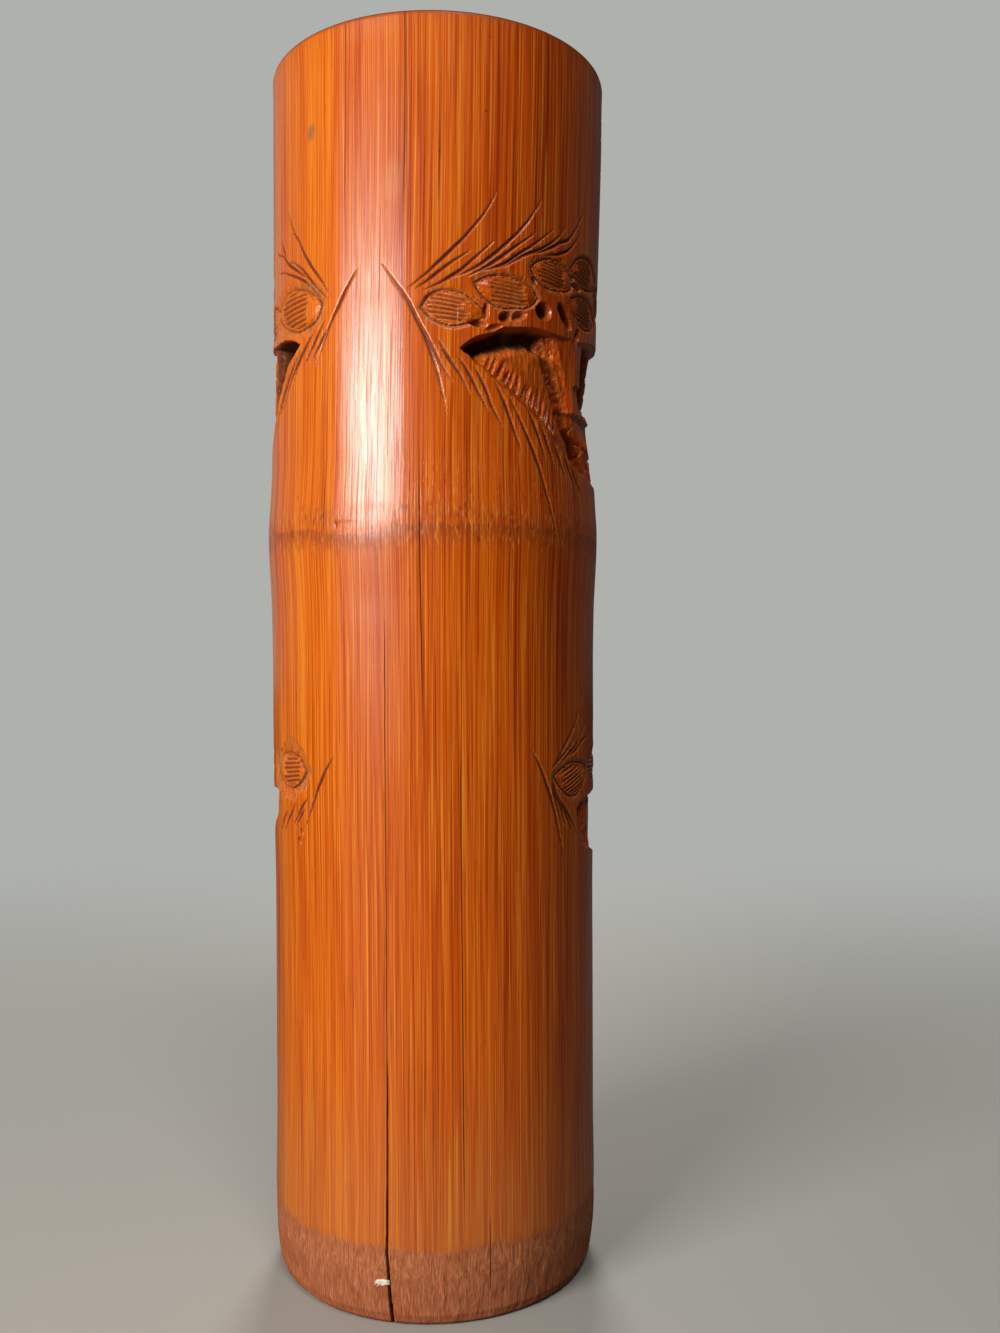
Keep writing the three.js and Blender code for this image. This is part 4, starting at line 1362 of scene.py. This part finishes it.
innerStart = outerCount + overCount
for band, (first, last) in enumerate(zip(cutRows, cutRows[1:])):
    low, high = rowHeights[first], rowHeights[last]
    rows = list(range(first, last + 1))
    top = last == outerCount - 1
    if top:
        rows += range(outerCount, innerStart)
        high = culm["height"]
    rows += [innerStart + i for i, height in enumerate(boreHeights)
             if (low <= height <= high if first else height <= high)]
    if first == 0:
        rows += range(innerStart + innerCount, len(loop))
    kinds = rowKinds[rows]
    piece = meshFromRows(f"culm_band_{band + 1}", rows, kinds,
                         [skinMaterial, boreMaterial, grainMaterial])
    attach(piece, "root")
    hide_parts("culm")
    print(piece.name, "from", round(float(low)), "to", round(float(high)), "mm,",
          2 * len(rows) * loop.shape[1], "triangles")

# Trees of Geometry Nodes: a turned diaphragm, and broken fibres that stand on points
def newTree(name, sizes):
    tree = bpy.data.node_groups.new(name, "GeometryNodeTree")
    tree.interface.new_socket(name="Geometry", in_out="INPUT", socket_type="NodeSocketGeometry")
    tree.interface.new_socket(name="Geometry", in_out="OUTPUT", socket_type="NodeSocketGeometry")
    for label, value in sizes.items():
        kind = "Int" if isinstance(value, int) else "Float"
        socket = tree.interface.new_socket(
            name=label, in_out="INPUT", socket_type=f"NodeSocket{kind}")
        socket.default_value = value
    tree.interface.new_socket(name="Material", in_out="INPUT", socket_type="NodeSocketMaterial")
    return tree, tree.nodes.new("NodeGroupInput").outputs


def endTree(tree, geometry, material):
    smooth = addNode(tree, "GeometryNodeSetShadeSmooth", {"Geometry": geometry}).outputs[0]
    whole = addNode(tree, "GeometryNodeRealizeInstances", {"Geometry": smooth}).outputs[0]
    painted = addNode(tree, "GeometryNodeSetMaterial", {
        "Geometry": whole, "Material": material}).outputs[0]
    addNode(tree, "NodeGroupOutput", {0: painted})
    return tree


def vectorMaths(tree, operation, first, second=None, scale=None):
    inputs = {0: first}
    if second is not None:
        inputs[1] = second
    if scale is not None:
        inputs["Scale"] = scale
    made = addNode(tree, "ShaderNodeVectorMath", inputs, operation=operation)
    return made.outputs["Value" if operation == "LENGTH" else "Vector"]


def diaphragmTree():
    # turns the object's own outline, a line of points in X and -Z, round the culm's axis
    tree, sizes = newTree("turned diaphragm", {
        "Path radius": .02, "Segments": 192, "Unevenness": .00015, "Grain": .0022,
        "Broken edge": .0, "Edge radius": .027, "Edge width": .003, "Seed": 5})
    outline = addNode(tree, "GeometryNodeMeshToCurve", {"Mesh": sizes["Geometry"]}).outputs[0]
    path = addNode(tree, "GeometryNodeCurvePrimitiveCircle", {
        "Resolution": sizes["Segments"], "Radius": sizes["Path radius"]}).outputs[0]
    path = addNode(tree, "GeometryNodeSetCurveNormal", {"Curve": path}, mode="Z_UP").outputs[0]
    turned = addNode(tree, "GeometryNodeCurveToMesh", {
        "Curve": path, "Profile Curve": outline}).outputs[0]
    turned = addNode(tree, "GeometryNodeMergeByDistance", {
        "Geometry": turned, "Distance": 1e-6}).outputs[0]
    turned = addNode(tree, "GeometryNodeFlipFaces", {"Mesh": turned}).outputs[0]
    place = addNode(tree, "GeometryNodeInputPosition").outputs[0]
    size = maths(tree, "DIVIDE", 1.0, sizes["Grain"])
    pits = addNode(tree, "ShaderNodeTexNoise", {
        "Vector": place, "W": sizes["Seed"], "Scale": size, "Detail": 3.0},
        noise_dimensions="4D").outputs[0]
    pits = maths(tree, "MULTIPLY", maths(tree, "SUBTRACT", pits, .75), sizes["Unevenness"])
    normal = addNode(tree, "GeometryNodeInputNormal").outputs[0]
    turned = addNode(tree, "GeometryNodeSetPosition", {
        "Geometry": turned, "Offset": vectorMaths(tree, "SCALE", normal, scale=pits)}).outputs[0]
    # the edge that was knocked out is ragged
    flatPlace = vectorMaths(tree, "MULTIPLY", place, (1, 1, 0))
    far = vectorMaths(tree, "LENGTH", flatPlace)
    near = maths(tree, "DIVIDE", maths(tree, "SUBTRACT", far, sizes["Edge radius"]),
                 sizes["Edge width"])
    near = maths(tree, "SUBTRACT", 1.0, near, clamp=True)
    chips = addNode(tree, "ShaderNodeTexNoise", {
        "Vector": flatPlace, "W": sizes["Seed"], "Scale": 190.0, "Detail": 4.0,
        "Roughness": .62}, noise_dimensions="4D").outputs[0]
    chips = maths(tree, "MULTIPLY", maths(tree, "MULTIPLY", chips, near), sizes["Broken edge"])
    outward = vectorMaths(tree, "NORMALIZE", flatPlace)
    turned = addNode(tree, "GeometryNodeSetPosition", {
        "Geometry": turned, "Offset": vectorMaths(tree, "SCALE", outward, scale=chips)}).outputs[0]
    return endTree(tree, turned, sizes["Material"])


def fibreTree():
    # a tapered broken fibre on every point, laid along the point's own direction
    tree, sizes = newTree("broken fibres", {
        "Length": .0014, "Thickness": .00016, "Shortest": .35, "Disorder": .5, "Seed": 8})
    fibre = addNode(tree, "GeometryNodeMeshCone", {
        "Vertices": 6, "Side Segments": 2, "Radius Top": maths(
            tree, "MULTIPLY", sizes["Thickness"], .25),
        "Radius Bottom": sizes["Thickness"], "Depth": sizes["Length"]}).outputs[0]
    aim = addNode(tree, "GeometryNodeInputNamedAttribute", {"Name": "aim"},
                  data_type="FLOAT_VECTOR").outputs[0]
    chance = addNode(tree, "FunctionNodeRandomValue", {
        0: (-1, -1, -1), 1: (1, 1, 1), "Seed": sizes["Seed"]}, data_type="FLOAT_VECTOR").outputs[0]
    aim = vectorMaths(tree, "ADD", aim, vectorMaths(
        tree, "SCALE", chance, scale=sizes["Disorder"]))
    turn = addNode(tree, "FunctionNodeAlignRotationToVector", {"Vector": aim}, axis="Z").outputs[0]
    long = addNode(tree, "FunctionNodeRandomValue", {
        2: sizes["Shortest"], 3: 1.0, "Seed": sizes["Seed"]}, data_type="FLOAT").outputs[1]
    grown = addNode(tree, "GeometryNodeInstanceOnPoints", {
        "Points": sizes["Geometry"], "Instance": fibre, "Rotation": turn, "Scale": addNode(
            tree, "ShaderNodeCombineXYZ", {0: 1.0, 1: 1.0, 2: long}).outputs[0]}).outputs[0]
    return endTree(tree, grown, sizes["Material"])


def grownMesh(name, points, edges, tree, values, material, aims=None):
    # runs a tree on a line or on loose points and keeps the result as a plain mesh
    mesh = bpy.data.meshes.new(name)
    mesh.from_pydata([[float(v) for v in point] for point in points], edges, [])
    if aims is not None:
        layer = mesh.attributes.new("aim", "FLOAT_VECTOR", "POINT")
        layer.data.foreach_set("vector", np.array(aims, np.float32).reshape(-1))
    made = bpy.data.objects.new(name, mesh)
    bpy.context.scene.collection.objects.link(made)
    modifier = made.modifiers.new("nodes", "NODES")
    modifier.node_group = tree
    for item in tree.interface.items_tree:
        if item.name in values:
            modifier[item.identifier] = values[item.name]
        elif item.name == "Material":
            modifier[item.identifier] = material
    graph = bpy.context.evaluated_depsgraph_get()
    final = bpy.data.meshes.new_from_object(made.evaluated_get(graph))
    made.modifiers.clear()
    made.data = final
    final.name = name
    bpy.data.meshes.remove(mesh)
    print(name, "grown:", len(final.polygons), "faces")
    return made


diaphragms = {
    "unevenness": .16,       # mm
    "floorRings": (9, 14.5, 20.5),   # radius of the faint growth ridges, mm
    "ridge": .22,
    "navel": (2.6, .7),      # radius and depth of the dimple in the middle
    "dish": 1,
    "thickness": 4.5,
    "fillet": 3,
    "ringThickness": 4,
    "ringBevel": 1,
    "ringWidth": 5.6,
    "chips": 2.4,            # how far the knocked-out edge breaks back
    "fibres": 170,
    "fibreSize": (1.5, .13),
}


def turnedPiece(name, outline, closed, extra):
    low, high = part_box(name)
    middle = [(low[i] + high[i]) / 2 for i in range(2)]
    inset = diaphragms["unevenness"] * .3
    path = .02
    points = [((across - inset * (across > 25)) * mm - path, -height * mm, 0)
              for across, height in outline]
    edges = [(i, i + 1) for i in range(len(points) - 1)]
    if closed:
        edges.append((len(points) - 1, 0))
    made = grownMesh("bare_" + name, points, edges, turnedTree, {
        "Path radius": path, "Unevenness": diaphragms["unevenness"] * mm, **extra},
        septumMaterial)
    shift = (middle[0], middle[1], low[2])
    for vertex in made.data.vertices:
        vertex.co = [value + move for value, move in zip(vertex.co, shift)]
    return made, middle, low[2]


def splitLine(points, step):
    # the outline with points no further than step apart
    line = [points[0]]
    for start, end in zip(points, points[1:]):
        count = max(1, round(math.dist(start, end) / step))
        line += [tuple(a + (b - a) * i / count for a, b in zip(start, end))
                 for i in range(1, count + 1)]
    return line


def floorOutline(radius):
    # from the middle of the hollow underside, out, and back to the middle on top
    sizes = diaphragms
    top, dish, fillet = sizes["thickness"], sizes["dish"], sizes["fillet"]
    corners = [(0, dish), (radius / 2, dish), (radius - fillet, .02), (radius, .02),
               (radius, top + dish), (radius - fillet / 2, top + dish / 3),
               (radius - fillet, top), (0, top)]
    line = []
    for across, height in splitLine(corners, .8):
        if height > dish + 1 and across < radius - fillet:
            for ridge in sizes["floorRings"]:
                height -= sizes["ridge"] * smoothStep(abs(across - ridge), 0, 1.6)
            wide, deep = sizes["navel"]
            height -= deep * (1 - smoothStep(across, 0, wide))
        line.append((across, float(height)))
    return line


turnedTree, tuftTree = diaphragmTree(), fibreTree()
low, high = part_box("floor_septum")
floorPiece, _, _ = turnedPiece("floor_septum", floorOutline((high[0] - low[0]) / 2 / mm), False,
                               {"Broken edge": 0.0, "Grain": .0026})
low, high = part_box("middle_septum_ring")
outer = (high[0] - low[0]) / 2 / mm
inner, bevel, thick = (outer - diaphragms["ringWidth"], diaphragms["ringBevel"],
                       diaphragms["ringThickness"])
ringLine = splitLine([(outer, .02), (outer, thick - .02), (inner + bevel, thick - .02),
                      (inner, thick - bevel), (inner, bevel), (inner + bevel, .02),
                      (outer, .02)], .45)[:-1]
ringPiece, ringMiddle, ringFoot = turnedPiece("middle_septum_ring", ringLine, True, {
    "Broken edge": diaphragms["chips"] * mm, "Edge radius": inner * mm, "Segments": 360})
random = np.random.default_rng(77)
turns = np.linspace(0, math.tau, diaphragms["fibres"], endpoint=False)
turns = turns + random.uniform(-.02, .02, turns.shape)
reach = (inner + .75 * diaphragms["chips"] + random.uniform(-.3, .5, turns.shape)) * mm
heights = ringFoot + random.uniform(1.1, thick - 1.1, turns.shape) * mm
tufts = np.column_stack([ringMiddle[0] + reach * np.cos(turns),
                         ringMiddle[1] + reach * np.sin(turns), heights])
inward = np.column_stack([-np.cos(turns), -np.sin(turns), random.uniform(-.2, .2, turns.shape)])
ringFibres = grownMesh("middle_septum_fibres", tufts, [], tuftTree, {
    "Length": diaphragms["fibreSize"][0] * mm, "Thickness": diaphragms["fibreSize"][1] * mm},
    septumMaterial, inward)
for piece, node in ((floorPiece, "floor_septum"), (ringPiece, "middle_septum_ring"),
                    (ringFibres, "middle_septum_ring")):
    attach(piece, "root")
    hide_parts(node)

# a pale splinter that lifts out of the foot beside the crack
splinter = {
    "middle": (-13.8, 10.6),      # degrees round the culm, height in mm
    "spread": (1.35, .68),         # half its length along the skin and half its height
    "fibres": 150,
    "fibreSize": (1.5, .17),
    "colour": ("#F2E2CC", "#FFF8EE"),
}


def paleFibre():
    # torn bamboo fibre that no oil or light has darkened: dry, matt and nearly white
    material, tree, shader = newMaterial("Torn pale bamboo fibre")
    place = addNode(tree, "ShaderNodeTexCoord").outputs["Object"]
    tone = grain(tree, place, .0002, .0002, 2, .5)
    tree.links.new(ramped(tree, tone, (.3, .7), splinter["colour"]),
                   shader.inputs["Base Color"])
    shader.inputs["Roughness"].default_value = .85
    return material


random = np.random.default_rng(31)
degrees, middle = splinter["middle"]
halfLong, halfTall = splinter["spread"]
along = random.uniform(-1, 1, splinter["fibres"])
turns = np.radians(degrees) + along * halfLong / culm["skinRadius"]
heights = middle + halfTall * random.uniform(-1, 1, along.shape) * (1 - .5 * np.abs(along))
reach = skinAt(heights) - .05
tufts = np.column_stack([reach * np.sin(turns), -reach * np.cos(turns), heights]) * mm
aims = np.column_stack([-np.cos(turns) + .25 * np.sin(turns), -np.sin(turns) - .25 * np.cos(turns),
                        -.15 + .3 * along])
splinterPiece = grownMesh("foot_splinter", tufts, [], tuftTree, {
    "Length": splinter["fibreSize"][0] * mm, "Thickness": splinter["fibreSize"][1] * mm,
    "Disorder": .28}, paleFibre(), aims)
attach(splinterPiece, "root")

# Floor, camera and light
stage = {
    "floorSize": 12,
    "floorColour": "#B4B6B1",
    "background": "#AFB1AD",
    "floorGlow": "#4C4B48",    # the floor as the pot sees it
    "roomAcross": (1, .2),     # how bright the pot sees the room, from -X to +X
    "roomBehind": (.08, .62),   # and from before it to behind it
    "ambient": "#3E4040",      # what lights the pot from all round
    "clearing": (.12, .75),    # how far from the pot the floor goes over into the background, m
    "lampAim": .17,            # the height that the lamps point at, m
    # level, at half the pot's height: lens and sensor in mm, place and nearest seen in m
    "camera": {"lens": 32.54, "sensor": 36, "place": (.0166, -.315, .1512), "nearest": .01},
}


def stageFloor():
    half = stage["floorSize"] / 2
    mesh = bpy.data.meshes.new("stage_floor")
    mesh.from_pydata([(-half, -half, 0), (half, -half, 0), (half, half, 0), (-half, half, 0)],
                     [], [(0, 1, 2, 3)])
    material, tree, shader = newMaterial("Pale plain floor")
    shader.inputs["Roughness"].default_value = .8
    place = addNode(tree, "ShaderNodeTexCoord").outputs["Object"]
    away = addNode(tree, "ShaderNodeVectorMath", {0: place}, operation="LENGTH").outputs["Value"]
    glow = addNode(tree, "ShaderNodeEmission", {"Color": shade(stage["background"])})
    seen = addNode(tree, "ShaderNodeLightPath").outputs["Is Camera Ray"]
    share = maths(tree, "MULTIPLY", seen, ranged(tree, away, *stage["clearing"]))
    tree.links.new(mixed(tree, seen, shade(stage["floorGlow"]), shade(stage["floorColour"])),
                   shader.inputs["Base Color"])
    both = addNode(tree, "ShaderNodeMixShader", {
        0: share, 1: shader.outputs[0], 2: glow.outputs[0]})
    tree.links.new(both.outputs[0], tree.nodes["Material Output"].inputs["Surface"])
    mesh.materials.append(material)
    floor = bpy.data.objects.new("stage_floor", mesh)
    bpy.context.scene.collection.objects.link(floor)


def setCamera():
    given = stage["camera"]
    data = bpy.data.cameras.new("camera")
    data.lens = given["lens"]
    data.sensor_width = given["sensor"]
    data.clip_start = given["nearest"]
    camera = bpy.data.objects.new("camera", data)
    camera.location = given["place"]
    camera.rotation_euler = (math.pi / 2, 0, 0)
    bpy.context.scene.collection.objects.link(camera)
    bpy.context.scene.camera = camera


lamps = {
    # azimuth from the back towards +X, distance, height of its middle, size, watts
    "windowSide": {"azimuth": -39, "distance": .8, "height": .355, "size": (.42, .2),
                   "power": 6.3, "colour": "#FFF8F0"},
    "windowHigh": {"azimuth": 16, "distance": .9, "height": 1.3, "size": (.4, .4),
                   "power": 4.7, "colour": "#FFF8F0"},
    "carvedSide": {"azimuth": 180, "distance": 1, "height": .62, "size": (.3, .4),
                   "power": 6, "colour": "#FFFAF4"},
}


def setLamps():
    for name, lamp in lamps.items():
        data = bpy.data.lights.new(name, "AREA")
        data.shape = "RECTANGLE"
        data.size, data.size_y = lamp["size"]
        data.energy = lamp["power"]
        data.color = shade(lamp["colour"])[:3]
        made = bpy.data.objects.new(name, data)
        turn = math.radians(lamp["azimuth"])
        far = lamp["distance"]
        made.location = (far * math.sin(turn), -far * math.cos(turn), lamp["height"])
        tilt = math.atan2(lamp["height"] - stage["lampAim"], far)
        made.rotation_euler = (math.pi / 2 - tilt, 0, turn)
        bpy.context.scene.collection.objects.link(made)


def setWorld():
    world = bpy.data.worlds.new("soft room")
    bpy.context.scene.world = world
    world.use_nodes = True
    tree = world.node_tree
    background = tree.nodes["Background"]
    rays = addNode(tree, "ShaderNodeLightPath")
    camera, glossy, through = [
        rays.outputs[f"Is {kind} Ray"] for kind in ("Camera", "Glossy", "Transmission")]
    seen = strongest(tree, camera, glossy, through)
    # glossy rays see the same background, dimmer in front and away from the window
    toward = addNode(tree, "ShaderNodeTexCoord").outputs["Generated"]
    toward = addNode(tree, "ShaderNodeSeparateXYZ", {0: toward})
    behind = overlap(tree, ranged(tree, toward.outputs[0], -.45, .3, *stage["roomAcross"]),
                     ranged(tree, toward.outputs[1], -.1, .5, *stage["roomBehind"]))
    dim = mixed(tree, 1.0, shade(stage["background"]), behind, "MULTIPLY")
    pale = mixed(tree, camera, dim, shade(stage["background"]))
    tree.links.new(mixed(tree, seen, shade(stage["ambient"]), pale), background.inputs["Color"])
    background.inputs["Strength"].default_value = 1


stageFloor()
setCamera()
setLamps()
setWorld()
bpy.context.scene.view_settings.view_transform = "Standard"
